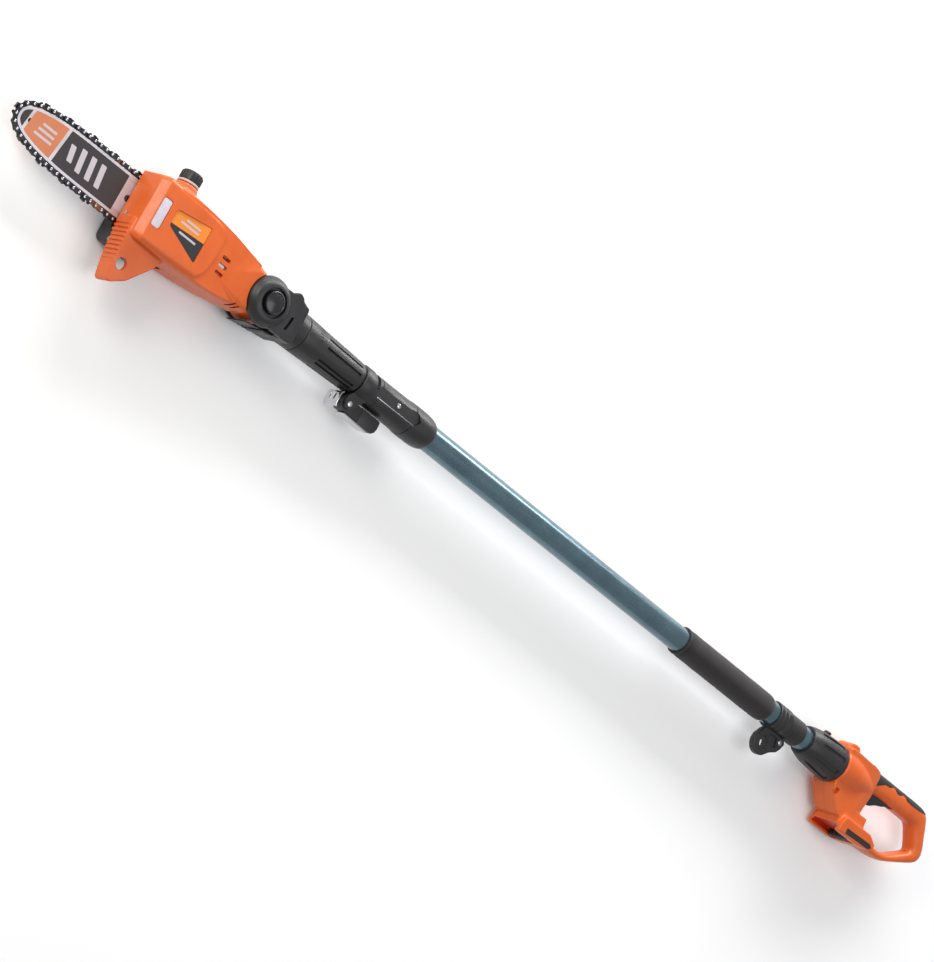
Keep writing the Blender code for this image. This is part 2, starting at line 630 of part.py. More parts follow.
def yoke(side):
    """One cheek of the tilting joint, with half of the neck behind it; side is 1 left, -1 right."""
    name = "yoke_left" if side > 0 else "yoke_right"

    def span(a, b):
        return (a, b) if side > 0 else (-b, -a)

    top_x = PIVOT_X + 26.0
    disc = turned(mirror_profile([(CHEEK_IN, 0), (CHEEK_IN, CHEEK_R), (CHEEK_IN + 4.0, CHEEK_R),
                                  (CHEEK_OUT - 4.0, CHEEK_R - 4.5), (CHEEK_OUT, CHEEK_R - 11.0),
                                  (CHEEK_OUT, 0)], side), "h", (PIVOT_X, 0, 0), 28)
    ob = add(name, disc, (BLACK, 0.42))
    arm = [(PIVOT_X, -26.0), (PIVOT_X + 40.0, -27.0), (PIVOT_X + 54.0, -26.0), (PIVOT_X + 54.0, 26.0)]
    arm += [(PIVOT_X + 44.0, 30.0), (PIVOT_X + 38.0, 30.0), (top_x, 24.0), (PIVOT_X, 24.0)]
    join(ob, add(f"join.arm_{name}", prism(arm, *span(CHEEK_IN, 27.5)), None))
    web = [(PIVOT_X + 31.5, -26.5), (PIVOT_X + 54.0, -26.0), (PIVOT_X + 54.0, 25.5), (PIVOT_X + 31.5, 24.5)]
    join(ob, add(f"join.web_{name}", prism(web, *span(SEAM, 24.0)), None))
    rings = []
    for x, high, wide in ((PIVOT_X + 50.0, 26.0, 26.0), (YOKE_REAR, YOKE_R, YOKE_R)):
        round_half = arc(0, 0, 1.0, -90, 90, 12)
        points = [(y * high, side * max(h * wide, SEAM)) for h, y in round_half]
        rings.append((x, points))
    join(ob, add(f"join.neck_{name}", loft(rings), None))
    tongue = [(-362.0, -37.0), (-361.0, -33.4), (-345.0, -31.2), (-318.0, -31.0)]
    tongue += [(-305.0, -24.0), (-300.0, -27.0)]
    join(ob, add(f"join.tongue_{name}", prism(tongue, *span(SEAM, 18.0)), None))
    sweep = rod("h", (PIVOT_X, 0, 0), *span(-1, CHEEK_IN), KNUCKLE_R + 0.8, 24)
    cut(ob, add(f"cut.sweep_{name}", sweep, None))
    cable = rod("x", (0, 0, 0), PIVOT_X + 20, YOKE_REAR - 4, INNER_R - 4, 24)
    cut(ob, add(f"cut.cable_{name}", cable, None))
    seat = rod("x", (0, 0, 0), YOKE_REAR - 4, YOKE_REAR + 10, INNER_R + GAP, 24)
    cut(ob, add(f"cut.seat_{name}", seat, None))
    if side > 0:
        well = rod("h", (PIVOT_X, 0, 0), CHEEK_IN + 2.5, 60, BUTTON_R + GAP, 24)
        cut(ob, add("cut.button_well", well, None))
        hole = rod("h", (PIVOT_X, 0, 0), 10, 60, BOLT_R + RUN, 20)
    else:
        hole = rod("h", (PIVOT_X, 0, 0), -60, -10, BOLT_R + RUN, 20)
    cut(ob, add(f"cut.bolt_{name}", hole, None))


def pivot_parts():
    bolt = rod("h", (PIVOT_X, 0, 0), -CHEEK_OUT, CHEEK_IN + 2.2, BOLT_R, 20)
    add("pivot_bolt", bolt, (STEEL, 0.35, 1.0))
    low = CHEEK_IN + 2.5 + BUTTON_TRAVEL + GAP
    button = [(low, 0), (low, BUTTON_R), (BUTTON_TOP - 1.5, BUTTON_R), (BUTTON_TOP, BUTTON_R - 1.5)]
    button += [(BUTTON_TOP, 0)]
    bm = turned(button, "h", (PIVOT_X, 0, 0), 24)
    ob = add("pivot_button", bm, (BLACK, 0.35), at=(PIVOT_X, 0, BUTTON_TOP))
    well = turned([(low - 1, 4.5), (low + 5, 4.5), (low + 5, 9.5), (low - 1, 9.5)], "h", (PIVOT_X, 0, 0), 24)
    cut(ob, add("cut.button_spring", well, None))
    spring_low = CHEEK_IN + 2.5 + GAP
    spring = pipe("h", (PIVOT_X, 0, 0), spring_low, low + 5 - GAP, 9.0, 7.0, 20)
    add("button_spring", spring, (STEEL, 0.35, 1.0), at=(PIVOT_X, 0, spring_low))


def neck():
    profile = [(YOKE_REAR + GAP, YOKE_R), (-225.0, YOKE_R - 1.6), (SLEEVE_END - 4, YOKE_R - 3.6)]
    profile += [(SLEEVE_END, YOKE_R - 4.8)]
    profile += [(SLEEVE_END, INNER_R + GAP), (YOKE_REAR + GAP, INNER_R + GAP)]
    add("neck_sleeve", turned(profile, "x", (0, 0, 0), 24), (BLACK, 0.5))
    tube = pipe("x", (0, 0, 0), INNER_FRONT, INNER_REAR, INNER_R, INNER_R - INNER_WALL, 24)
    add("inner_tube", tube, ((0.6, 0.6, 0.62), 0.3, 1.0), at=(INNER_REAR, 0, 0))
    lead = pipe("x", (0, 0, 0), INNER_FRONT + 8, INNER_REAR - 10, LEAD_R, LEAD_R - 2, 12)
    add("power_lead", lead, (BLACK, 0.6), at=(INNER_REAR, 0, 0))


# ---------------------------------------------------------------- pole and clamp

def clamp():
    profile = [(CLAMP_FRONT, CLAMP_R - 1.0), (CLAMP_FRONT + 3, CLAMP_R + 0.6), (-140.0, CLAMP_R + 0.6)]
    profile += [(-136.0, CLAMP_R), (-70.0, CLAMP_R + 0.2), (-60.0, CLAMP_R + 1.4), (-34.0, CLAMP_R + 1.2)]
    profile += [(CLAMP_REAR - 6, CLAMP_R - 0.3), (CLAMP_REAR, CLAMP_R - 2.6)]
    profile += [(CLAMP_REAR, LEAD_R), (CLAMP_FRONT, LEAD_R)]
    body = add("clamp_body", turned(profile, "x", (0, 0, 0), 24), (BLACK, 0.45))
    lug = [(LEVER_X, LEVER_Y + 16), (LEVER_X - 8, LEVER_Y + 9), (LEVER_X - 8, LEVER_Y)]
    lug += [(LEVER_X - 5, LEVER_Y - 7), (LEVER_X + 5, LEVER_Y - 7), (LEVER_X + 8, LEVER_Y)]
    lug += [(LEVER_X + 22, LEVER_Y + 16)]
    for side, tag in ((1, "left"), (-1, "right")):
        low, high = sorted((side * (LEVER_HALF + GAP), side * LUG_OUT))
        ear = add(f"join.ear_{tag}", prism(lug, low, high), None)
        join(body, ear)
    step = TUBE_FRONT - 2
    bore = [(CLAMP_FRONT - 5, 0), (CLAMP_FRONT - 5, INNER_R + GAP), (step, INNER_R + GAP)]
    bore += [(step, TUBE_R + GAP), (CLAMP_REAR + 5, TUBE_R + GAP), (CLAMP_REAR + 5, 0)]
    cut(body, add("cut.clamp_bore", turned(bore, "x", (0, 0, 0), 24), None))
    slit = block(SLIT_X - SLIT_W / 2, SLIT_X + SLIT_W / 2, 2.0, 40, -40, 40)
    cut(body, add("cut.clamp_slit", slit, None))
    window = block(CLAMP_FRONT - 5, LEVER_X + 18.0, LEVER_Y + 3, -10, -LEVER_HALF - 0.2, LEVER_HALF + 0.2)
    cut(body, add("cut.pad_window", window, None))
    cut(body, add("cut.lever_pin", rod("h", (LEVER_X, LEVER_Y, 0), -40, 40, PIN_R + RUN, 16), None))
    panel = block(-130.0, -54.0, -6.5, 10.5, CLAMP_R - 1.2, 40)
    cut(body, add("cut.panel", panel, None))
    cut(body, add("cut.clamp_screw", rod("h", (-91.0, 2.0, 0), 10, 40, 2.0, 12), None))
    screw = rod("h", (-91.0, 2.0, 0), TUBE_R + GAP + 0.4, CLAMP_R + 0.2, 1.8, 12)
    add("clamp_screw", screw, (STEEL, 0.3, 1.0))


def lever():
    outline = []
    for i, (c, s) in enumerate(arc(0, 0, 1.0, 90, 180, 6)):
        r = CAM_HIGH + (CAM_LOW - CAM_HIGH) * i / 6
        outline.append((LEVER_X + r * c, LEVER_Y + r * s))
    outline += arc(LEVER_X, LEVER_Y, CAM_LOW, 195, 270, 5)
    tail = LEVER_X + LEVER_LEN
    outline += [(tail - 14, LEVER_Y - 13.0), (tail - 2, LEVER_Y - 10.0)]
    outline += [(tail, LEVER_Y - 4), (tail, LEVER_Y + 7.5), (tail - 20, LEVER_Y + 8)]
    outline += [(LEVER_X + 24, LEVER_Y + 8)]
    outline += [(LEVER_X + 10, LEVER_Y + 6.8)]
    at = (LEVER_X, LEVER_Y, 0)
    ob = add("clamp_lever", prism(outline, -LEVER_HALF, LEVER_HALF), (BLACK, 0.4), at=at)
    cut(ob, add("cut.lever_bore", rod("h", at, -40, 40, PIN_R + RUN, 16), None))
    pin = rod("h", at, -LUG_OUT - 0.8, LUG_OUT + 0.8, PIN_R, 16)
    add("lever_pin", pin, (STEEL, 0.25, 1.0))
    y = LEVER_Y - 13.0
    plate = [(LEVER_X + 2, y + 1.2), (LEVER_X + 46, y - 0.4)]
    plate += [(LEVER_X + 46, y - 2.0), (LEVER_X + 2, y - 0.4)]
    add("lever_plate", prism(plate, -LEVER_HALF, LEVER_HALF), (STEEL, 0.25, 1.0), at=at)
    x = LEVER_X - GUARD_OUT
    strap = [(x, LEVER_Y + 9.5), (x - 2.5, LEVER_Y + 6), (x - 2.5, LEVER_Y - 10), (x, LEVER_Y - 13)]
    strap += [(x + 1.5, LEVER_Y - 12), (x - 0.6, LEVER_Y - 9), (x - 0.6, LEVER_Y + 5.5)]
    strap += [(x + 1.2, LEVER_Y + 8.5)]
    add("clamp_guard", prism(strap, -LUG_OUT, LUG_OUT), (STEEL, 0.2, 1.0))
    foot = LEVER_Y + CAM_HIGH + GAP
    pad = block(LEVER_X + 2.3, LEVER_X + 17.7, foot, -INNER_R - GAP, -6.0, 6.0)
    pad_ob = add("brake_pad", pad, (BLACK, 0.8), at=(LEVER_X + 10, -INNER_R - GAP, 0))
    round_top = rod("x", (0, 0, 0), -200, -100, INNER_R + GAP, 24)
    cut(pad_ob, add("cut.pad", round_top, None))


def pole():
    tube = pipe("x", (0, 0, 0), TUBE_FRONT, TUBE_REAR, TUBE_R, TUBE_R - TUBE_WALL, 24)
    add("outer_tube", tube, (TEAL, 0.32, 0.8))
    foam = [(FOAM_FRONT, TUBE_R + GAP), (FOAM_FRONT, FOAM_R - 1.5), (FOAM_FRONT + 1.5, FOAM_R)]
    foam += [(FOAM_REAR - 1.5, FOAM_R), (FOAM_REAR, FOAM_R - 1.5), (FOAM_REAR, TUBE_R + GAP)]
    add("foam_grip", turned(foam, "x", (0, 0, 0), 24), ((0.035, 0.03, 0.032), 0.9))
    band = rod("x", (0, 0, 0), RING_FRONT, RING_REAR, RING_R, 24)
    ring = add("strap_ring", band, (BLACK, 0.5))
    flange = arc(EYE_X, EYE_Y, EYE_R, 150, 325, 12)
    flange += [(EYE_X + 38, EYE_Y + 9), (EYE_X + 42, EYE_Y + 17), (EYE_X + 36, EYE_Y + 28)]
    flange += [(EYE_X - 4, EYE_Y + 28)]
    join(ring, add("join.flange", prism(flange, -EYE_HALF, EYE_HALF), None))
    bore = rod("x", (0, 0, 0), EYE_X - 60, RING_REAR + 1, TUBE_R + GAP, 24)
    cut(ring, add("cut.ring_bore", bore, None))
    room = rod("x", (0, 0, 0), RING_REAR, EYE_X + 60, SLEEVE_R + 1.2, 24)
    cut(ring, add("cut.ring_room", room, None))
    cut(ring, add("cut.eye", rod("h", (EYE_X, EYE_Y, 0), -20, 20, EYE_HOLE_R, 24), None))
    cut(ring, add("cut.eye_screw", rod("h", (EYE_X + 30, EYE_Y + 15, 0), -20, 20, 2.2 + RUN, 12), None))
    screw = [(-EYE_HALF - 2, 0), (-EYE_HALF - 2, 2.2), (EYE_HALF + GAP, 2.2), (EYE_HALF + GAP, 4.2)]
    screw += [(EYE_HALF + 2.5, 4.2), (EYE_HALF + 2.5, 0)]
    add("ring_screw", turned(screw, "h", (EYE_X + 30, EYE_Y + 15, 0), 16), (STEEL, 0.3, 1.0))
    start = RING_REAR + GAP
    sleeve = [(start, TUBE_R + GAP), (start, SLEEVE_R), (SLEEVE_REAR - 1, SLEEVE_R)]
    sleeve += [(SLEEVE_REAR, SLEEVE_R - 1), (SLEEVE_REAR, TUBE_R + GAP)]
    add("rubber_sleeve", turned(sleeve, "x", (0, 0, 0), 24), (BLACK, 0.7))


def twist_collar():
    bore = TUBE_R + GAP
    profile = [(COLLAR_FRONT, bore), (COLLAR_FRONT, COLLAR_R0 - 2), (COLLAR_FRONT + 2, COLLAR_R0)]
    profile += [(COLLAR_FRONT + 22, COLLAR_R1 - 2.5), (COLLAR_FRONT + 45, COLLAR_R1 - 0.5)]
    profile += [(COLLAR_REAR, COLLAR_R1)]
    profile += [(COLLAR_REAR, bore)]
    ob = add("twist_collar", turned(profile, "x", (0, 0, 0), 24), (BLACK, 0.5), at=(COLLAR_REAR, 0, 0))
    floor = TUBE_R + 3.0
    well = rod("y", (NUB_X, 0, 0), floor, 60, NUB_R + GAP, 20)
    cut(ob, add("cut.nub_well", well, None))
    low, top = floor + NUB_TRAVEL + GAP, COLLAR_R1 + 3.7
    nub = [(low, 0), (low, NUB_R), (top - 2.2, NUB_R), (top - 0.6, NUB_R - 1.8), (top, 0)]
    add("collar_button", turned(nub, "y", (NUB_X, 0, 0), 20), (BLACK, 0.4), at=(NUB_X, top, 0))


# ---------------------------------------------------------------- handle

D_OUTER = [(990.0, GRIP_Y1), (1126.0, GRIP_Y1), (1143.0, 25.0), (1155.0, 5.0), (D_REAR, -25.0),
           (1169.0, -37.0), (1161.0, -45.0), (1097.0, -72.0), (1060.0, -77.0), (1010.0, -80.0),
           (990.0, -80.0)]
D_HOLE = [(1003.0, GRIP_Y0), (1118.0, GRIP_Y0), (1129.0, -8.0), (1143.0, -29.0), (1141.0, -36.0),
          (1101.0, -59.0), (1077.0, -64.5), (1056.0, -62.0), (1042.0, -58.0), (1016.0, -58.0),
          (1004.0, -51.0), (1002.0, -38.0), (1008.0, -22.0), (1012.0, -8.0)]
BODY = [(COLLAR_REAR + GAP, 33.0), (1004.0, GRIP_Y1 + 0.8), (1004.0, -61.0), (968.0, -62.5),
        (948.0, -60.0), (930.0, -40.0), (COLLAR_REAR + GAP, -30.0)]
FOOT = [(966.0, -58.0), (1030.0, -58.0), (1046.0, -66.0), (1044.0, -77.0), (1012.0, FOOT_BASE),
        (FOOT_FRONT, FOOT_BASE), (FOOT_FRONT, FOOT_ROOF)]
HANDLE_SCREWS = ((953.0, -32.0), (1150.0, -30.0))


def handle_shell(side):
    name = "handle_shell_left" if side > 0 else "handle_shell_right"

    def span(a, b):
        return (a, b) if side > 0 else (-b, -a)

    ob = add(name, prism(D_OUTER, *span(SEAM, GRIP_HALF)), (ORANGE, 0.38))
    join(ob, add(f"join.body_{name}", prism(BODY, *span(SEAM, BODY_HALF)), None))
    socket = rod("x", (0, 0, 0), COLLAR_REAR + GAP, SOCKET_REAR, SOCKET_R, 24)
    join(ob, add(f"join.socket_{name}", socket, None))
    join(ob, add(f"join.foot_{name}", prism(FOOT, *span(SEAM, FOOT_HALF)), None))
    lump = [(COLLAR_REAR + 1, 20.0), (COLLAR_REAR + 1, 35.0), (930.0, 40.0), (946.0, 41.0), (952.0, 30.0)]
    join(ob, add(f"join.lump_{name}", prism(lump, *span(SEAM, 9.0)), None))
    cut(ob, add(f"cut.half_{name}", block(900, 1000, -70, 70, *span(-60, SEAM)), None))
    tunnel = rod("x", (0, 0, 0), 900, TUBE_REAR + GAP, TUBE_R + GAP, 24)
    cut(ob, add(f"cut.tunnel_{name}", tunnel, None))
    hole = prism(D_HOLE, *span(-5, 60))
    cut(ob, add(f"cut.d_{name}", hole, None))
    well = [(1008.0, 3.0), (1112.0, 3.0), (1112.0, 24.0), (1008.0, 24.0)]
    cut(ob, add(f"cut.well_{name}", prism(well, *span(-5, GRIP_HALF - WALL)), None))
    slot = block(1011.0, 1071.0, -8.0, 5.0, *span(-5, TRIGGER_HALF + GAP))
    cut(ob, add(f"cut.trigger_{name}", slot, None))
    pocket = [(962.0, -24.0), (992.0, -24.0), (992.0, -56.0), (962.0, -56.0)]
    cut(ob, add(f"cut.pocket_{name}", prism(pocket, *span(-5, BODY_HALF - WALL)), None))
    lock = rod("y", (LOCK_X, 0, 0), 26.0, 60, LOCK_R + GAP, 24)
    cut(ob, add(f"cut.lock_{name}", lock, None))
    stem = block(LOCK_X - 4, LOCK_X + 12, 19.0, 27.0, *span(-5, 3.2))
    cut(ob, add(f"cut.lock_stem_{name}", stem, None))
    mouth = block(FOOT_FRONT - 10, SLOT_REAR, -100, FOOT_ROOF, *span(-5, SLOT_HALF))
    cut(ob, add(f"cut.battery_{name}", mouth, None))
    seat = block(TERMINAL_FRONT - 2, SLOT_REAR, -100, FOOT_ROOF + 1.0, *span(-5, SLOT_HALF))
    cut(ob, add(f"cut.terminal_{name}", seat, None))
    for i, (x, y) in enumerate(HANDLE_SCREWS):
        cut(ob, add(f"cut.hscrew{i}_{name}", rod("h", (x, y, 0), -60, 60, 2.2, 12), None))


def handle_parts():
    for i, (x, y) in enumerate(HANDLE_SCREWS):
        screw = rod("h", (x, y, 0), -13.0, 13.0, 2.0, 12)
        add(f"handle_screw_{i + 1}", screw, (STEEL, 0.35, 1.0))
    rubber = block(LOCK_X + LOCK_R + 2, 1126.0, GRIP_Y1 + GAP, GRIP_Y1 + 2.3, -9.0, 9.0)
    add("grip_rubber", rubber, (BLACK, 0.8))
    x, y = TRIGGER_X, TRIGGER_Y
    trigger = arc(x, y, 3.4, -90, 90, 6)
    trigger += [(1018.0, y + 3.0), (1014.5, y - 1.0), (1014.5, -14.0), (1018.0, -18.5), (1026.0, -17.5)]
    trigger += [(1048.0, -8.0)]
    ob = add("trigger", prism(trigger, -TRIGGER_HALF, TRIGGER_HALF), (BLACK, 0.45), at=(x, y, 0))
    cut(ob, add("cut.trigger_bore", rod("h", (x, y, 0), -20, 20, 1.5 + RUN, 12), None))
    add("trigger_pin", rod("h", (x, y, 0), -GRIP_HALF + WALL + GAP, GRIP_HALF - WALL - GAP, 1.5, 12),
        (STEEL, 0.3, 1.0))
    add("switch_box", block(1018.0, 1046.0, 15.0, 23.4, -9.0, 9.0), ((0.05, 0.05, 0.05), 0.5))
    low = LOCK_TRAVEL + 19.0 + GAP
    lock = [(26.0 + LOCK_TRAVEL + GAP, 0), (26.0 + LOCK_TRAVEL + GAP, LOCK_R), (34.6, LOCK_R)]
    lock += [(36.0, LOCK_R - 2.0), (LOCK_TOP, 0)]
    lock = turned(lock, "y", (LOCK_X, 0, 0), 24)
    ob = add("lock_off_button", lock, (BLACK, 0.4), at=(LOCK_X, LOCK_TOP, 0))
    join(ob, add("join.lock_stem", block(LOCK_X - 2.5, LOCK_X + 2.5, low, 30.5, -2.6, 2.6), None))
    add("control_board", block(965.0, 989.0, -54.0, -27.0, -3.0, 3.0), ((0.02, 0.12, 0.05), 0.5))
    terminal = block(TERMINAL_FRONT, SLOT_REAR - GAP, -81.0, FOOT_ROOF + 1.0 - GAP, -20.0, 20.0)
    add("terminal_block", terminal, (BLACK, 0.5))


def build():
    for ob in list(bpy.data.objects):
        bpy.data.objects.remove(ob)
    left_shell()
    right_shell()
    head_screws()
    trim()
    oil_pump()
    sprocket_cover()
    guide_bar()
    saw_chain()
    drive_train()
    bar_clamp()
    tension_block()
    yoke(1)
    yoke(-1)
    pivot_parts()
    neck()
    clamp()
    lever()
    pole()
    twist_collar()
    handle_shell(1)
    handle_shell(-1)
    handle_parts()


build()
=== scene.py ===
"""Looks of a cordless telescoping pole saw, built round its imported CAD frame.

Pieces are shaped in millimetres in the tool's own axes and placed by finish_piece():
  x runs along the pole from the mouth of the clamp (0) back to the handle, so the bar points to -x
  y is up on the tool, and y = 0 is the pole's axis
  h stands out of the tool's left-hand face, and h = 0 is the seam of the housings
"""
import json
import math

import bmesh
import bpy
from mathutils import Matrix, Vector


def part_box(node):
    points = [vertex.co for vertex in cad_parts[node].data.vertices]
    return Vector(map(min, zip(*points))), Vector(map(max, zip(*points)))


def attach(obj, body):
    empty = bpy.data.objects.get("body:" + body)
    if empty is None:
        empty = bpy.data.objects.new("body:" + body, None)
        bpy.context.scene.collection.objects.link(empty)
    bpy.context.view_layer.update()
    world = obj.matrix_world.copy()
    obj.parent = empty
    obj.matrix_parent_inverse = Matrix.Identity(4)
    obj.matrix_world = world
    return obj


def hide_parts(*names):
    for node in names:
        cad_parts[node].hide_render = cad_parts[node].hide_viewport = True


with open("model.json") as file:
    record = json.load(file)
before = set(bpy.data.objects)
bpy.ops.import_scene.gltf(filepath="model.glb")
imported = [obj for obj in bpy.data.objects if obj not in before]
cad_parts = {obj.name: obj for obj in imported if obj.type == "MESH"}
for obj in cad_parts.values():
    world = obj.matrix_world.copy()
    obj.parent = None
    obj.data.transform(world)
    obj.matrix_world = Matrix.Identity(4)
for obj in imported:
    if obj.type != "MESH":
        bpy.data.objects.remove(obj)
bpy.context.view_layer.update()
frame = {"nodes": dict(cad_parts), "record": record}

MM = 0.001
POLE_AXIS = (0, 0, 0)
TUBE_BORE = 17.8                     # radius of what sits round the outer tube
INNER_BORE = 16.1                    # radius of what sits round the inner tube
SEAM = 0.15                          # half the gap between two housing halves
TUBE_LOW, TUBE_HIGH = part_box("outer_tube")
MOUTH_TO_TUBE = 0.120                # the clamp's mouth is this far behind the tube's front end
TOOL_ZERO = Vector((TUBE_LOW.x + MOUTH_TO_TUBE, (TUBE_LOW.y + TUBE_HIGH.y) / 2,
                    (TUBE_LOW.z + TUBE_HIGH.z) / 2))
TO_WORLD = Matrix.Translation(TOOL_ZERO) @ Matrix.Scale(MM, 4)


def node_box(name):
    """A CAD node's lowest and highest corner in the tool's millimetres."""
    low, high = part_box(name)
    return (low - TOOL_ZERO) / MM, (high - TOOL_ZERO) / MM


def node_middle(name):
    low, high = node_box(name)
    return (low + high) / 2


# ---------------------------------------------------------------- materials

def linear(code):
    """An sRGB hex colour as linear RGBA."""
    channels = [int(code[i:i + 2], 16) / 255 for i in (1, 3, 5)]
    return (*[c / 12.92 if c <= 0.04045 else ((c + 0.055) / 1.055) ** 2.4 for c in channels], 1.0)


def add_node(mat, kind, inputs=None, **settings):
    """Add a node, set its settings and either set or link its inputs."""
    node = mat.node_tree.nodes.new(kind)
    for key, value in settings.items():
        setattr(node, key, value)
    for key, value in (inputs or {}).items():
        if isinstance(value, bpy.types.NodeSocket):
            mat.node_tree.links.new(value, node.inputs[key])
        else:
            node.inputs[key].default_value = value
    return node


def new_material(name, **sockets):
    """A Principled material with the same value all over in the named sockets."""
    mat = bpy.data.materials.new(name)
    mat.use_nodes = True
    shader = mat.node_tree.nodes["Principled BSDF"]
    for key, value in sockets.items():
        shader.inputs[key.replace("_", " ")].default_value = value
    return mat, shader


def drive(mat, socket, shader, name):
    mat.node_tree.links.new(socket, shader.inputs[name])


def moulded(name, base, shade, rough, grain=0.8, depth=0.04, coat=0.0):
    """Injection-moulded plastic: clouded pigment, gloss worn unevenly by hands, and the mould's grain."""
    mat, shader = new_material(name, IOR=1.53, Coat_Weight=coat, Coat_Roughness=0.25)
    place = add_node(mat, "ShaderNodeTexCoord").outputs["Object"]
    cloud = add_node(mat, "ShaderNodeTexNoise", {"Vector": place, "Scale": 1 / (38 * MM), "Detail": 3.0})
    share = add_node(mat, "ShaderNodeMapRange", {"Value": cloud.outputs["Fac"], "From Min": 0.3,
                                                 "From Max": 0.7})
    tint = add_node(mat, "ShaderNodeMix", {0: share.outputs["Result"], 6: linear(base), 7: linear(shade)},
                    data_type="RGBA")
    drive(mat, tint.outputs[2], shader, "Base Color")
    handled = add_node(mat, "ShaderNodeTexNoise", {"Vector": place, "Scale": 1 / (9 * MM), "Detail": 4.0,
                                                   "Roughness": 0.6})
    gloss = add_node(mat, "ShaderNodeMapRange", {"Value": handled.outputs["Fac"], "From Min": 0.3,
                                                 "From Max": 0.7,
                                                 "To Min": rough - 0.05, "To Max": rough + 0.08})
    drive(mat, gloss.outputs["Result"], shader, "Roughness")
    # the real grain is about 0.2 mm and is drawn coarser so that it shows
    fine = add_node(mat, "ShaderNodeTexNoise", {"Vector": place, "Scale": 1 / (grain * MM), "Roughness": 0.6})
    relief = add_node(mat, "ShaderNodeBump", {"Height": fine.outputs["Fac"], "Distance": depth * MM})
    drive(mat, relief.outputs["Normal"], shader, "Normal")
    return mat


def drawn_metal(name, base, shade, rough, line_mm, along, metallic=1.0):
    """Metal with fine lines along one axis, from drawing, grinding or brushing."""
    mat, shader = new_material(name, Metallic=metallic)
    place = add_node(mat, "ShaderNodeTexCoord").outputs["Object"]
    stretch = [0.02 if axis == along else 1.0 for axis in "xyh"]
    grained = add_node(mat, "ShaderNodeMapping", {"Vector": place, "Scale": stretch})
    lines = add_node(mat, "ShaderNodeTexNoise", {"Vector": grained.outputs["Vector"],
                                                 "Scale": 1 / (line_mm * MM),
                                                 "Detail": 3.0, "Roughness": 0.7})
    cloud = add_node(mat, "ShaderNodeTexNoise", {"Vector": place, "Scale": 1 / (30 * MM), "Detail": 3.0})
    share = add_node(mat, "ShaderNodeMapRange", {"Value": cloud.outputs["Fac"], "From Min": 0.3,
                                                 "From Max": 0.7})
    tint = add_node(mat, "ShaderNodeMix", {0: share.outputs["Result"], 6: linear(base), 7: linear(shade)},
                    data_type="RGBA")
    drive(mat, tint.outputs[2], shader, "Base Color")
    gloss = add_node(mat, "ShaderNodeMapRange", {"Value": lines.outputs["Fac"], "From Min": 0.3,
                                                 "From Max": 0.7,
                                                 "To Min": rough - 0.06, "To Max": rough + 0.1})
    drive(mat, gloss.outputs["Result"], shader, "Roughness")
    relief = add_node(mat, "ShaderNodeBump", {"Height": lines.outputs["Fac"], "Distance": 0.02 * MM})
    drive(mat, relief.outputs["Normal"], shader, "Normal")
    return mat


def screen_print(name, base, shade, rough):
    """Thin screen-printed enamel over steel: flat, glossy, with hairline scratches along the bar."""
    mat, shader = new_material(name, IOR=1.5, Coat_Weight=0.3, Coat_Roughness=0.2)
    place = add_node(mat, "ShaderNodeTexCoord").outputs["Object"]
    grained = add_node(mat, "ShaderNodeMapping", {"Vector": place, "Scale": (0.03, 1.0, 1.0)})
    scratch = add_node(mat, "ShaderNodeTexNoise", {"Vector": grained.outputs["Vector"],
                                                   "Scale": 1 / (0.6 * MM),
                                                   "Detail": 4.0, "Roughness": 0.8})
    worn = add_node(mat, "ShaderNodeMapRange", {"Value": scratch.outputs["Fac"], "From Min": 0.62,
                                                "From Max": 0.8,
                                                "To Max": 0.35})
    cloud = add_node(mat, "ShaderNodeTexNoise", {"Vector": place, "Scale": 1 / (25 * MM)})
    plain = add_node(mat, "ShaderNodeMix", {0: cloud.outputs["Fac"], 6: linear(base), 7: linear(shade)},
                     data_type="RGBA")
    tint = add_node(mat, "ShaderNodeMix", {0: worn.outputs["Result"], 6: plain.outputs[2],
                                           7: linear("#8D8A88")}, data_type="RGBA")
    drive(mat, tint.outputs[2], shader, "Base Color")
    gloss = add_node(mat, "ShaderNodeMapRange", {"Value": scratch.outputs["Fac"], "From Min": 0.3,
                                                 "From Max": 0.7,
                                                 "To Min": rough, "To Max": rough + 0.2})
    drive(mat, gloss.outputs["Result"], shader, "Roughness")
    return mat


def foam_material():
    """Closed-cell EVA foam: matt skin, small cells where it was cut, dusty sheen."""
    mat, shader = new_material("eva_foam_closed_cell", Sheen_Weight=0.12, Sheen_Roughness=0.6, IOR=1.4)
    place = add_node(mat, "ShaderNodeTexCoord").outputs["Object"]
    cloud = add_node(mat, "ShaderNodeTexNoise", {"Vector": place, "Scale": 1 / (22 * MM), "Detail": 4.0})
    tint = add_node(mat, "ShaderNodeMix", {0: cloud.outputs["Fac"], 6: linear("#181416"),
                                           7: linear("#241E20")},
                    data_type="RGBA")
    drive(mat, tint.outputs[2], shader, "Base Color")
    gloss = add_node(mat, "ShaderNodeMapRange", {"Value": cloud.outputs["Fac"], "From Min": 0.3,
                                                 "From Max": 0.7,
                                                 "To Min": 0.82, "To Max": 0.94})
    drive(mat, gloss.outputs["Result"], shader, "Roughness")
    # cells of about 0.5 mm, drawn at 1.1 mm
    cells = add_node(mat, "ShaderNodeTexVoronoi", {"Vector": place, "Scale": 1 / (1.1 * MM)})
    relief = add_node(mat, "ShaderNodeBump", {"Height": cells.outputs["Distance"], "Distance": 0.16 * MM})
    drive(mat, relief.outputs["Normal"], shader, "Normal")
    return mat


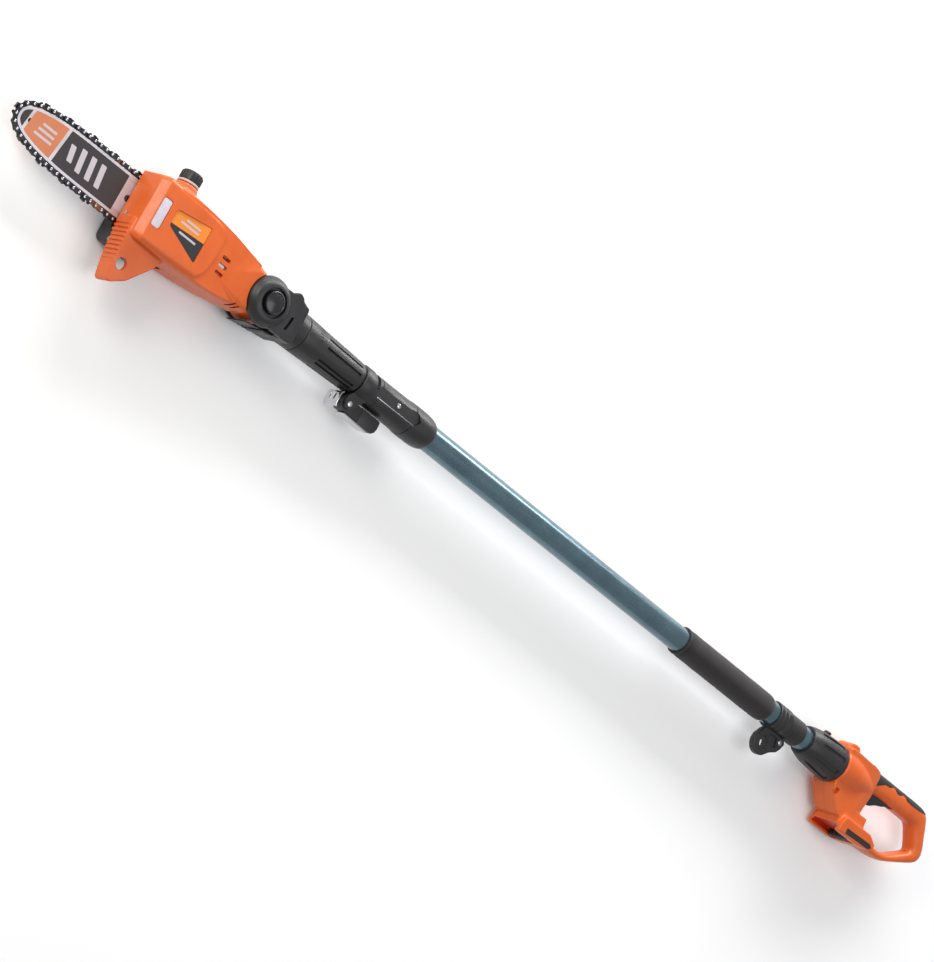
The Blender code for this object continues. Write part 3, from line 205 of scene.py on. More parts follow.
def window_material():
    """Milky polyethylene that lets the oil level show through."""
    mat, shader = new_material("polyethylene_milky", IOR=1.5, Transmission_Weight=0.1,
                               Subsurface_Weight=0.3, Subsurface_Scale=0.004)
    place = add_node(mat, "ShaderNodeTexCoord").outputs["Object"]
    cloud = add_node(mat, "ShaderNodeTexNoise", {"Vector": place, "Scale": 1 / (14 * MM)})
    tint = add_node(mat, "ShaderNodeMix", {0: cloud.outputs["Fac"], 6: linear("#DCD3DE"),
                                           7: linear("#CFC6D6")},
                    data_type="RGBA")
    drive(mat, tint.outputs[2], shader, "Base Color")
    gloss = add_node(mat, "ShaderNodeMapRange", {"Value": cloud.outputs["Fac"], "To Min": 0.2,
                                                 "To Max": 0.34})
    drive(mat, gloss.outputs["Result"], shader, "Roughness")
    return mat


def board_material():
    """Glass-fibre board under green solder mask, with the weave just showing."""
    mat, shader = new_material("glass_fibre_board_green", IOR=1.5, Coat_Weight=0.4)
    place = add_node(mat, "ShaderNodeTexCoord").outputs["Object"]
    weave = add_node(mat, "ShaderNodeTexWave", {"Vector": place, "Scale": 0.6 / MM, "Distortion": 0.5})
    tint = add_node(mat, "ShaderNodeMix", {0: weave.outputs["Fac"], 6: linear("#1D4A2C"),
                                           7: linear("#235536")},
                    data_type="RGBA")
    drive(mat, tint.outputs[2], shader, "Base Color")
    gloss = add_node(mat, "ShaderNodeMapRange", {"Value": weave.outputs["Fac"], "To Min": 0.3,
                                                 "To Max": 0.42})
    drive(mat, gloss.outputs["Result"], shader, "Roughness")
    return mat


# Orange ABS, satin from the mould's grain, a little darker where the pigment clouds
orange_abs = moulded("orange_abs_moulded", "#D55E17", "#CB5511", 0.36, coat=0.06)
# The battery channel's inside: the same orange painted darker and redder as painted shade and painted
# reflected light in the recess, shiny where packs slide
channel_shade_red = moulded("channel_shade_red_moulded", "#C8300C", "#B92609", 0.30, coat=0.1)
# Glass-filled nylon, near black with a dry satin face
black_nylon = moulded("black_nylon_glass_filled", "#19181A", "#1F1E20", 0.42, depth=0.05)
# Polished black acetal of the buttons
black_acetal = moulded("black_acetal_polished", "#101012", "#161619", 0.24, grain=3.0, depth=0.01, coat=0.2)
# Thermoplastic rubber, matt and faintly grey where it is handled
black_rubber = moulded("black_rubber_overmould", "#161516", "#1E1C1D", 0.62, grain=0.7, depth=0.07)
# Printed vinyl of the badge
label_orange = moulded("vinyl_label_orange", "#E8861F", "#E07D18", 0.28, grain=2.5, depth=0.008, coat=0.2)
# Silicone gasket under the filler cap
pale_gasket = moulded("silicone_gasket_pale", "#C6B6B1", "#B9A9A4", 0.55, grain=1.2, depth=0.02)
# Dark tube of anodised aluminium: the dye is teal grey and the drawing lines run along it
teal_tube = drawn_metal("aluminium_anodised_teal", "#68828C", "#5D747E", 0.22, 0.5, "x", metallic=0.8)
# Mill-finish aluminium of the inner tube
bare_tube = drawn_metal("aluminium_mill_finish", "#B9BCBF", "#A9ADB1", 0.28, 0.5, "x")
# Ground tool steel of the guide bar
bar_steel = drawn_metal("tool_steel_ground", "#CFCBCF", "#BDB8BD", 0.40, 0.6, "x", metallic=0.6)
# Zinc-plated fasteners and shafts
zinc_steel = drawn_metal("steel_zinc_plated", "#B9BABC", "#A2A3A6", 0.30, 1.5, "h")
# Blued chain steel
blued_steel = drawn_metal("chain_steel_blued", "#37373B", "#46464B", 0.38, 1.5, "h")
# Painted reflection: links in the housing's mouth are coloured copper brown for the orange housing reflected
# in them
chain_painted_reflection = drawn_metal("chain_steel_painted_reflection", "#8E5D4B", "#7B4F40", 0.42, 1.5, "h")
# Rivet heads are burnished bright by the bar's rails
bright_steel = drawn_metal("steel_burnished", "#D6D6D8", "#BDBDC0", 0.22, 2.0, "h")
# Nickel-plated spring steel of the bracket and lever strip
nickel_steel = drawn_metal("steel_nickel_plated", "#DADADC", "#C3C4C8", 0.12, 2.5, "y")
# Sintered bronze of the bush
bronze = drawn_metal("bronze_sintered", "#A97B3E", "#8F6631", 0.45, 0.8, "h")
# The bar's pale stripes and its dark and orange panels
pale_print = screen_print("enamel_print_pale", "#BEB6BD", "#B3ABB2", 0.36)
dark_print = screen_print("enamel_print_dark", "#221C1D", "#2B2324", 0.34)
orange_print = screen_print("enamel_print_orange", "#C4764B", "#BC6C43", 0.36)
foam = foam_material()
milky = window_material()
board_green = board_material()


# ---------------------------------------------------------------- shaping

def bm_prism(outline, low, high, axis="h"):
    """Extrude a flat outline: (x, y) along h, (y, h) along x or (x, h) along y."""
    bm = bmesh.new()
    spots = {"h": lambda u, v: (u, v, low), "x": lambda u, v: (low, u, v),
             "y": lambda u, v: (u, low, v)}[axis]
    step = {"h": Vector((0, 0, 1)), "x": Vector((1, 0, 0)), "y": Vector((0, 1, 0))}[axis]
    face = bm.faces.new([bm.verts.new(spots(u, v)) for u, v in outline])
    grown = bmesh.ops.extrude_face_region(bm, geom=[face])
    moved = [v for v in grown["geom"] if isinstance(v, bmesh.types.BMVert)]
    bmesh.ops.translate(bm, verts=moved, vec=step * (high - low))
    bmesh.ops.recalc_face_normals(bm, faces=bm.faces)
    return bm


def bm_block(x0, x1, y0, y1, h0, h1, soft=0.0, segments=3):
    """A box, with all its edges rounded where soft is given."""
    bm = bm_prism([(x0, y0), (x1, y0), (x1, y1), (x0, y1)], h0, h1)
    if soft:
        round_edges(bm, bm.edges[:], soft, segments)
    return bm


def round_edges(bm, edges, width, segments=3):
    bmesh.ops.bevel(bm, geom=edges, offset=width, offset_type="OFFSET", affect="EDGES",
                    segments=segments, profile=0.5, material=-1, clamp_overlap=True)


def round_rims(bm, width, segments=3):
    """Round the edges that lie square to h, as a prism's two rims do."""
    round_edges(bm, [e for e in bm.edges if abs(e.verts[0].co.z - e.verts[1].co.z) < 0.01], width, segments)


def roll(bm, angle):
    """Turn a shape about the pole's axis, by an angle in degrees."""
    bmesh.ops.transform(bm, matrix=Matrix.Rotation(math.radians(-angle), 4, "X"), verts=bm.verts)
    return bm


def bm_turned(profile, axis, centre, steps=96):
    """Spin a profile of (distance along the axis, radius) about an axis through centre."""
    along = {"x": Vector((1, 0, 0)), "y": Vector((0, 1, 0)), "h": Vector((0, 0, 1))}[axis]
    out = {"x": Vector((0, 1, 0)), "y": Vector((0, 0, 1)), "h": Vector((1, 0, 0))}[axis]
    bm = bmesh.new()
    middle = Vector(centre)
    verts = [bm.verts.new(middle + along * a + out * r) for a, r in profile]
    edges = [bm.edges.new(pair) for pair in zip(verts, verts[1:])]
    if profile[0][1] > 0:
        edges.append(bm.edges.new((verts[-1], verts[0])))
    bmesh.ops.spin(bm, geom=verts + edges, cent=middle, axis=along, dvec=(0, 0, 0),
                   angle=2 * math.pi, steps=steps, use_merge=True, use_duplicate=False)
    bmesh.ops.remove_doubles(bm, verts=bm.verts, dist=0.0005)
    bmesh.ops.recalc_face_normals(bm, faces=bm.faces)
    return bm


def bm_rod(axis, centre, start, end, radius, steps=48):
    """A solid cylinder from start to end along its axis."""
    return bm_turned([(start, 0), (start, radius), (end, radius), (end, 0)], axis, centre, steps)


def bm_loft(rings):
    """Skin rings of points one after the other, and cap the ends."""
    bm = bmesh.new()
    loops = []
    for ring in rings:
        verts = [bm.verts.new(point) for point in ring]
        loops.append([bm.edges.new((verts[i - 1], verts[i])) for i in range(len(verts))])
    for first, second in zip(loops, loops[1:]):
        bmesh.ops.bridge_loops(bm, edges=first + second)
    for loop in (loops[0], loops[-1]):
        bmesh.ops.contextual_create(bm, geom=loop)
    bmesh.ops.recalc_face_normals(bm, faces=bm.faces)
    return bm


def merged(*parts):
    """Several meshes as one, without welding them."""
    whole = bmesh.new()
    for bm in parts:
        mesh = bpy.data.meshes.new("part")
        bm.to_mesh(mesh)
        bm.free()
        whole.from_mesh(mesh)
        bpy.data.meshes.remove(mesh)
    return whole


def arc(cx, cy, radius, start, end, steps):
    """Points on a round stretch, angles in degrees."""
    turn = [math.radians(start + (end - start) * i / steps) for i in range(steps + 1)]
    return [(cx + radius * math.cos(t), cy + radius * math.sin(t)) for t in turn]


def rounded(u0, u1, v0, v1, radius, steps=6):
    """A rectangle's outline with rounded corners."""
    r = radius
    points = arc(u1 - r, v1 - r, r, 0, 90, steps) + arc(u0 + r, v1 - r, r, 90, 180, steps)
    return points + arc(u0 + r, v0 + r, r, 180, 270, steps) + arc(u1 - r, v0 + r, r, 270, 360, steps)


def soft_corners(outline, radius, steps=4):
    """Round the corners of an outline, each by no more than its sides allow."""
    points = []
    count = len(outline)
    for i in range(count):
        before, here, after = (Vector(outline[i - 1]), Vector(outline[i]), Vector(outline[(i + 1) % count]))
        back, on = before - here, after - here
        reach = min(radius, back.length * 0.45, on.length * 0.45)
        start, end = here + back.normalized() * reach, here + on.normalized() * reach
        for k in range(steps + 1):
            t = k / steps
            points.append(tuple(start * (1 - t) ** 2 + here * 2 * t * (1 - t) + end * t * t))
    return points


def outset(points, distance):
    """Move a closed outline outwards along its normals; it runs anticlockwise."""
    moved = []
    for i, (x, y) in enumerate(points):
        (xa, ya), (xb, yb) = points[i - 1], points[(i + 1) % len(points)]
        first = Vector((y - ya, xa - x)).normalized()
        second = Vector((yb - y, x - xb)).normalized()
        normal = (first + second).normalized()
        reach = distance / max(normal.dot(first), 0.5)
        moved.append((x + normal.x * reach, y + normal.y * reach))
    return moved


def span(side, near, far):
    """The lower and the higher of two distances, taken to the left (1) or the right (-1)."""
    return sorted((side * near, side * far))


def solid(bm):
    """A working object in millimetres."""
    mesh = bpy.data.meshes.new("solid")
    bm.to_mesh(mesh)
    bm.free()
    ob = bpy.data.objects.new("solid", mesh)
    bpy.context.scene.collection.objects.link(ob)
    return ob


def twin(ob):
    """A second working object of the same shape."""
    copy = solid(bmesh.new())
    copy.data = ob.data.copy()
    return copy


def settle(ob):
    """Put an object's modifiers into its mesh."""
    bpy.context.view_layer.update()
    graph = bpy.context.evaluated_depsgraph_get()
    mesh = bpy.data.meshes.new_from_object(ob.evaluated_get(graph))
    ob.modifiers.clear()
    ob.data = mesh
    return ob


def boolean(ob, other, operation):
    if isinstance(other, bmesh.types.BMesh):
        other = solid(other)
    mod = ob.modifiers.new("boolean", "BOOLEAN")
    mod.operation = operation
    mod.solver = "EXACT"
    mod.object = other
    settle(ob)
    bpy.data.objects.remove(other)
    return ob


def carve(ob, *cutters):
    for cutter in cutters:
        boolean(ob, cutter, "DIFFERENCE")
    return ob


def cross_recess(screw, x, y, reach, width, low, high):
    """A cross-slot in a screw's head."""
    for a, b in ((reach, width), (width, reach)):
        carve(screw, bm_block(x - a, x + a, y - b, y + b, low, high))


def fuse(ob, *others):
    for other in others:
        boolean(ob, other, "UNION")
    return ob


def remesh(ob, voxel, rounds):
    """Melt overlapping solids into one skin with edges as soft as a mould's."""
    mod = ob.modifiers.new("remesh", "REMESH")
    mod.mode = "VOXEL"
    mod.voxel_size = voxel
    mod.adaptivity = 0.0
    smooth = ob.modifiers.new("smooth", "SMOOTH")
    smooth.factor = 0.5
    smooth.iterations = rounds
    return settle(ob)


def chamfer(ob, width, segments=2, angle=32):
    """Break the sharp edges of a carved solid."""
    mod = ob.modifiers.new("bevel", "BEVEL")
    mod.width = width
    mod.segments = segments
    mod.limit_method = "ANGLE"
    mod.angle_limit = math.radians(angle)
    mod.use_clamp_overlap = True
    return settle(ob)


def paint(ob, mat, test):
    """Give a second material to the faces whose middle passes the test, in tool millimetres."""
    ob.data.materials.append(mat)
    index = len(ob.data.materials) - 1
    for face in ob.data.polygons:
        if test(face.center, face.normal):
            face.material_index = index


def finish_piece(name, ob, mat, body, replaces=(), sharp=35):
    """Name a working object, place it in metres and let it ride on its body."""
    if isinstance(ob, bmesh.types.BMesh):
        ob = solid(ob)
    ob.name = name
    ob.data.name = name
    if ob.data.materials:
        ob.data.materials[0] = mat
    else:
        ob.data.materials.append(mat)
    ob.data.transform(TO_WORLD)
    ob.data.shade_smooth()
    ob.data.set_sharp_from_angle(angle=math.radians(sharp))
    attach(ob, body)
    if replaces:
        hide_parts(*replaces)
    return ob


def start_materials(ob, mat):
    ob.data.materials.clear()
    ob.data.materials.append(mat)
    return ob


# ---------------------------------------------------------------- bar and chain

BAR_LOW, BAR_HIGH = node_box("guide_bar")
BAR_H = (BAR_LOW.z + BAR_HIGH.z) / 2
BAR_T = BAR_HIGH.z - BAR_LOW.z
BAR_HALF = (BAR_HIGH.y - BAR_LOW.y) / 2
BAR_TIP = BAR_LOW.x
BAR_TAIL = BAR_HIGH.x
NOSE_LEN = 118.0                     # the long oval nose
NOSE_POWER = 2.6
SPROCKET = node_middle("drive_sprocket")
NOSE_WHEEL = node_middle("nose_sprocket")
STUD = node_middle("bar_stud")
PANEL_EDGE = 3.4                     # bare steel left round the print


def bar_half(x):
    """Half the bar's depth: parallel at the root, then a long oval."""
    share = min(max((BAR_TIP + NOSE_LEN - x) / NOSE_LEN, 0.0), 1.0)
    return BAR_HALF * (1.0 - share ** NOSE_POWER) ** (1.0 / NOSE_POWER)


def bar_outline():
    """Anticlockwise, from the tail's top corner round the nose and back."""
    steps = 30
    turn = [math.pi / 2 * i / steps for i in range(steps + 1)]
    xs = [BAR_TIP + NOSE_LEN * (1 - math.sin(t)) for t in turn]
    upper = [(BAR_TAIL, 18.0), (-560.0, BAR_HALF)] + [(x, bar_half(x)) for x in xs[:-1]]
    lower = [(x, -y) for x, y in reversed(upper)]
    return upper + [(BAR_TIP, 0.0)] + lower


def guide_bar():
    """Two outer plates on a smaller core, so that a groove runs round the edge for the drive links."""
    outline = bar_outline()
    plate = 1.25
    low, high = BAR_H - BAR_T / 2, BAR_H + BAR_T / 2
    core = [(x, y) for x, y in outset(outline, -6.0) if x > NOSE_WHEEL.x + 16.0]
    bar = solid(bm_prism(core, low + plate - 0.2, high - plate + 0.2))
    for a, b in ((low, low + plate), (high - plate, high)):
        bm = bm_prism(outline, a, b)
        round_rims(bm, 0.3, 2)
        fuse(bar, bm)
    start_materials(bar, bar_steel)
    slot = arc(-542.3, 0, 4.3, -90, 90, 12) + arc(-564.7, 0, 4.3, 90, 270, 12)
    carve(bar, bm_prism(slot, low - 5, high + 5))
    for y in (16.0, -16.0):
        carve(bar, bm_rod("h", (-547.0, y, 0), low - 5, high + 5, 1.9, 24))

    print_shape = outset(bar_outline(), -PANEL_EDGE)
    for side in (low - 0.02, high):
        panel = bm_prism(print_shape, side, side + 0.02)
        for cut_x in (-577.0, -675.0, -679.5, -727.5, -731.5):
            bmesh.ops.bisect_plane(panel, geom=panel.verts[:] + panel.edges[:] + panel.faces[:], dist=0.0005,
                                   plane_co=(cut_x, 0, 0), plane_no=(1, -0.12 if cut_x < -600 else 0, 0))
        keep = start_materials(solid(panel), bar_steel)
        keep.data.materials.append(dark_print)
        keep.data.materials.append(orange_print)
        for face in keep.data.polygons:
            x = face.center.x + (0.12 * -face.center.y if face.center.x < -600 else 0)
            if x < -731.5 or -675.0 < x < -577.0:
                face.material_index = 1
            elif -727.5 < x < -679.5:
                face.material_index = 2
        print_name = "bar_print_left" if side > BAR_H else "bar_print_right"
        drop = bmesh.new()
        drop.from_mesh(keep.data)
        bmesh.ops.delete(drop, geom=[f for f in drop.faces if f.material_index == 0], context="FACES")
        bmesh.ops.holes_fill(drop, edges=drop.edges)
        bmesh.ops.recalc_face_normals(drop, faces=drop.faces)
        drop.to_mesh(keep.data)
        drop.free()
        finish_piece(print_name, keep, bar_steel, "bar")
        marks = []
        for x, half in ((-661.0, 10.0), (-645.0, 14.0), (-629.0, 14.0), (-613.0, 14.0)):
            shape = soft_corners([(x, -half), (x + 8.0, -half), (x + 4.0, half), (x - 4.0, half)], 1.2, 3)
            marks.append(bm_prism(shape, side - 0.03, side + 0.05))
        for y in (-7.0, 0.0, 7.0):
            shape = soft_corners([(-713.0 + y * 0.4, y - 1.6), (-688.0, y - 1.6), (-688.0, y + 1.6),
                                  (-713.0 + y * 0.4, y + 1.6)], 1.0, 3)
            marks.append(bm_prism(shape, side - 0.03, side + 0.05))
        finish_piece(print_name.replace("print", "stripes"), merged(*marks), pale_print, "bar")
    finish_piece("bar_plates", bar, bar_steel, "bar", replaces=["guide_bar"])


CHAIN_PITCH = 9.6
RIVET_OUT = 3.7                      # rivet line above the bar's edge
TIE_HALF = 3.1
TIE_T = 1.25
DRIVE_T = 1.4


def chain_path():
    """The rivet line as a closed string of points: along the bar, round the sprocket."""
    edge = [p for p in bar_outline() if p[0] <= -560.0]
    wrap = arc(SPROCKET.x + 0.6, 0, 18.6, -80, 80, 24)
    return outset(edge + wrap, RIVET_OUT)


def along_path(points, count, phase=0.0):
    """Evenly spaced places on a closed path: position and direction."""
    closed = points + points[:1]
    lengths = [(Vector(b) - Vector(a)).length for a, b in zip(closed, closed[1:])]
    total = sum(lengths)
    places = []
    for i in range(count):
        want = total * ((i + phase) / count % 1.0)
        k = 0
        while want > lengths[k]:
            want -= lengths[k]
            k += 1
        a, b = Vector(closed[k]), Vector(closed[k + 1])
        places.append(a.lerp(b, want / lengths[k]))
    return places


def tie_outline(half):
    """A strap round two rivets with a waist between them."""
    left = arc(-half, 0, TIE_HALF, 70, 290, 6)
    right = arc(half, 0, TIE_HALF, -110, 110, 6)
    return right + [(0, TIE_HALF * 0.78)] + left + [(0, -TIE_HALF * 0.86)]


def cutter_outline(half):
    """Side plate of a cutter: depth gauge in front, gullet, and the cutting corner behind it."""
    return [(half + TIE_HALF, -0.6), (half + 2.6, 1.8), (half + 1.4, 3.9), (half - 1.0, 4.0),
            (half - 2.0, 1.3), (half - 3.6, 0.9), (half - 4.6, 2.2), (half - 4.9, 4.6),
            (-half - 2.4, 3.6), (-half - TIE_HALF, 0.4), (-half - 2.2, -2.6), (0.0, -2.7),
            (half + 2.2, -2.6)]


def drive_outline(half):
    body = arc(half, 0, TIE_HALF - 0.2, -60, 100, 5) + [(0, 2.0)] + arc(-half, 0, TIE_HALF - 0.2, 80, 240, 5)
    return body + [(-1.6, -5.0), (0.2, -6.4), (1.8, -5.0)]


def place_link(bm, here, there):
    """Turn and move a link, drawn on the x axis, onto the line between two rivets."""
    middle = (here + there) / 2
    angle = math.atan2(there.y - here.y, there.x - here.x)
    # travel is anticlockwise, so the outside of the loop is to the right of travel
    turn = Matrix.Translation((middle.x, middle.y, BAR_H)) @ Matrix.Rotation(angle, 4, "Z")
    bmesh.ops.transform(bm, matrix=turn @ Matrix.Scale(-1, 4, (0, 1, 0)), verts=bm.verts)
    bmesh.ops.reverse_faces(bm, faces=bm.faces)
    return bm


def saw_chain():
    path = chain_path()
    total = sum((Vector(b) - Vector(a)).length for a, b in zip(path, path[1:] + path[:1]))
    count = 4 * round(total / CHAIN_PITCH / 4)
    rivets = along_path(path, count, 0.5)
    straps, drives, heads = [], [], []
    for i, here in enumerate(rivets):
        there = rivets[(i + 1) % count]
        half = (there - here).length / 2
        if i % 2:
            bm = bm_prism(drive_outline(half), -DRIVE_T / 2, DRIVE_T / 2)
            drives.append(place_link(bm, here, there))
        else:
            inner = DRIVE_T / 2 + 0.05
            cutter = i % 4 == 0
            left = i % 8 == 0
            for side in (1, -1):
                low, high = span(side, inner, inner + TIE_T)
                toothed = cutter and (side > 0) == left
                outline = cutter_outline(half) if toothed else tie_outline(half)
                bm = bm_prism(outline, low, high)
                straps.append(place_link(bm, here, there))
                if toothed:
                    far = side * (inner + TIE_T + 1.1)
                    low, high = sorted((-side * 0.6, far))
                    top = [(half - 4.9, 4.9), (half - 4.9, 3.9), (-half - 2.2, 2.8), (-half - 2.2, 3.8)]
                    straps.append(place_link(bm_prism(top[::-1], low, high), here, there))
        head = bm_turned([(-3.3, 0), (-3.3, 1.2), (-2.95, 1.75), (2.95, 1.75), (3.3, 1.2), (3.3, 0)], "h",
                         (here.x, here.y, BAR_H), 10)
        heads.append(head)
    chain = start_materials(solid(merged(*straps, *drives)), blued_steel)
    # links between x -602 and -591, in the housing's mouth, get the painted reflection of the orange housing
    paint(chain, chain_painted_reflection, lambda c, n: -602.0 < c.x < -591.0)
    finish_piece("chain_links", chain, blued_steel, "bar", replaces=["saw_chain"],
                 sharp=25)
    finish_piece("chain_rivets", merged(*heads), bright_steel, "bar")


# ---------------------------------------------------------------- saw head

PIVOT = node_middle("pivot_bolt")
SHELL_LOW = node_box("head_shell_left")[0]
FRONT_X = SHELL_LOW.x
HOOK_BASE = SHELL_LOW.y
BACK_H = SHELL_LOW.z                 # the left half's flat back beside the bar
SPLIT_X = node_box("head_shell_right")[0].x
DISH_H = 21.7                        # the cheeks of the tilt joint lie outside this
DISH_R = 32.9

HEAD_STATIONS = (                    # x, half height, half width, corner radius
    (-549.0, 43.0, 36.0, 8.0), (-524.0, 43.4, 36.0, 9.0), (-500.0, 43.3, 36.0, 9.5),
    (-475.0, 42.4, 35.4, 10.0), (-450.0, 41.0, 34.5, 10.5), (-430.0, 39.2, 33.2, 11.0),
    (-410.0, 37.0, 31.4, 11.5), (-392.0, 34.2, 29.2, 12.0), (-376.0, 31.6, 27.0, 12.0),
    (-360.0, 29.4, 24.8, 12.0))


def head_ring(x, high, wide, radius, lean=0.0):
    """A section across the head; lean moves its outer side forward or back."""
    return [(x + lean * (h + 6.0), y, h) for y, h in rounded(-high, high, -wide, wide, radius, 8)]


def head_blank():
    """The whole head from bumper to tilt joint, before it is split into halves."""
    rings = [head_ring(FRONT_X, 39.0, 26.5, 7.0, 0.16), head_ring(FRONT_X + 0.4, 40.0, 27.5, 7.0, 0.16)]
    rings += [head_ring(x, high, wide, radius) for x, high, wide, radius in HEAD_STATIONS]
    return solid(bm_loft(rings))


def hook_blank():
    """The hanging hook under the bumper, thinner towards its tip."""
    outline = [(FRONT_X + 0.2, -20.0), (FRONT_X, -34.0), (FRONT_X + 3.4, -65.0), (-553.6, -97.0),
               (-550.0, HOOK_BASE),
               (-545.5, -98.6), (-528.5, -87.5), (-505.5, -57.0), (-497.0, -40.0), (-497.0, -20.0)]
    bm = bm_prism(outline[::-1], BACK_H, 22.5)
    for vert in bm.verts:
        if vert.co.z > 0 and vert.co.y < -60:
            vert.co.z -= (-60 - vert.co.y) * 0.10
    return bm


def save_split(blank, side):
    """One half of the head: the left also has the front part, down to its flat back."""
    copy = twin(blank)
    far = 200.0
    if side > 0:
        carve(copy, bm_block(-far * 4, SPLIT_X - 0.3, -far, far, -far, BACK_H),
              bm_block(SPLIT_X - 0.31, 0, -far, far, -far, SEAM))
    else:
        carve(copy, bm_block(-far * 4, SPLIT_X, -far, far, -far, far),
              bm_block(-far * 4, 0, -far, far, -SEAM, far))
    return copy


HANG_HOLE, HANG_HOLE_R = (-546.0, -74.0, 0), 7.5
LABEL_FLOOR = 34.2                   # bottom of the label's and the oil window's recesses
LABEL = [(-524.0, 15.0), (-470.0, 23.0), (-470.0, -24.0), (-524.0, -6.0)]
VENT_Y = (7.0, -3.0, -13.0)


def head_shells():
    blank = head_blank()
    fuse(blank, bm_rod("h", (PIVOT.x, 0, 0), -DISH_H + 0.3, DISH_H - 0.3, 29.0, 96))
    # the knuckle's dishes, where the cheeks of the tilt joint turn
    for side in (1, -1):
        low, high = span(side, DISH_H - 0.3, 60)
        carve(blank, bm_rod("h", (PIVOT.x, 0, 0), low, high, DISH_R, 96))
    fuse(blank, hook_blank())
    # boss under the oil filler
    cap = node_middle("oil_cap")
    fuse(blank, bm_turned([(34.0, 0), (34.0, 17.5), (44.0, 16.2), (50.0, 15.0), (51.6, 14.0), (51.6, 0)], "y",
                          (cap.x, 0, cap.z), 64))
    # long ridges on the top behind the step, and a raised band round the vents
    for y in (36.5, 31.0):
        rail = bm_prism([(-440.0, y - 1.6), (-376.0, y - 9.2), (-376.0, y - 6.6), (-440.0, y + 1.4)], 10.0,
                        31.0)
        fuse(blank, rail)
    band = [(-447.0, -27.0), (-442.0, -30.0), (-418.0, -28.0), (-406.0, -20.0), (-388.0, 10.0),
            (-374.0, 14.0),
            (-374.0, 18.0), (-391.0, 15.0), (-396.0, 10.0), (-412.0, -18.0), (-420.0, -23.0), (-441.0, -24.5)]
    raise_band = bm_prism(band[::-1], 0.0, 34.6)
    for vert in raise_band.verts:
        if vert.co.z > 1:
            vert.co.z -= max(0.0, vert.co.x + 447.0) * 0.082
    fuse(blank, raise_band)
    # the shallow step behind the label, with its round end
    step = soft_corners([(-534.0, 37.0), (-462.0, 36.0), (-447.0, 30.0), (-446.0, 0.0), (-450.0, -24.0),
                         (-460.0, -36.0), (-448.0, -48.0), (-330.0, -48.0), (-330.0, 46.0), (-534.0, 46.0)],
                         10.0)
    skirt = bm_prism(step, 0.0, 60.0)
    for vert in skirt.verts:
        if vert.co.z < 1:
            vert.co.z = 34.8 + min(0.0, (-500.0 - vert.co.x)) * 0.078
    remesh(blank, 1.1, 4)
    carve(blank, skirt)

    for side, name, replaced in ((1, "head_housing_left", "head_shell_left"),
                                 (-1, "head_housing_right", "head_shell_right")):
        half = start_materials(save_split(blank, side), orange_abs)
        if side > 0:
            inside = [(-558.5, -48.0), (-551.5, -91.0), (-546.5, -94.0), (-531.5, -83.5), (-509.0, -54.0),
                      (-508.0, -48.0)]
            carve(half, bm_prism(soft_corners(inside, 2.0), BACK_H - 2, 15.5),
                  bm_rod("h", HANG_HOLE, -20, 40, HANG_HOLE_R, 48))
            low, high = node_box("oil_window")
            pane = soft_corners([(low.x - 0.5, low.y - 0.5), (high.x + 0.5, low.y - 0.5),
                                 (high.x + 0.5, high.y + 0.5), (low.x - 0.5, high.y + 0.5)], 3.5)
            carve(half, bm_prism(pane, LABEL_FLOOR, 50.0))
            carve(half, bm_prism(soft_corners(outset(LABEL[::-1], 0.6), 3.0), LABEL_FLOOR, 50.0))
            carve(half, bm_rod("h", (PIVOT.x, 0, 0), -1, 60, 5.2, 48))
            # grip ribs across the lower half of the bumper
            for i in range(11):
                y = -31.0 - 5.6 * i
                lead = FRONT_X + max(0.0, -30.0 - y) * 0.11
                groove = bm_block(lead - 4.0, lead + 1.3, y - 1.3, y + 1.3, BACK_H - 2, 30.0, 0.5, 2)
                carve(half, groove)
        for y in VENT_Y:
            low, high = span(side, 22.5, 50.0)
            vent = bm_block(-434.5, -420.5, y - 2.3, y + 2.3, low, high, 1.2, 3)
            carve(half, vent)
        if side > 0:
            for shift in (0.0, 7.5):
                slit = bm_prism([(-394.0 + shift, -37.5), (-391.5 + shift, -38.5), (-382.0 + shift, -27.5),
                                 (-384.5 + shift, -26.5)], 12.0, 50.0)
                carve(half, slit)
        finish_piece(name, half, orange_abs, "saw_head", replaces=[replaced], sharp=40)
    bpy.data.objects.remove(blank)


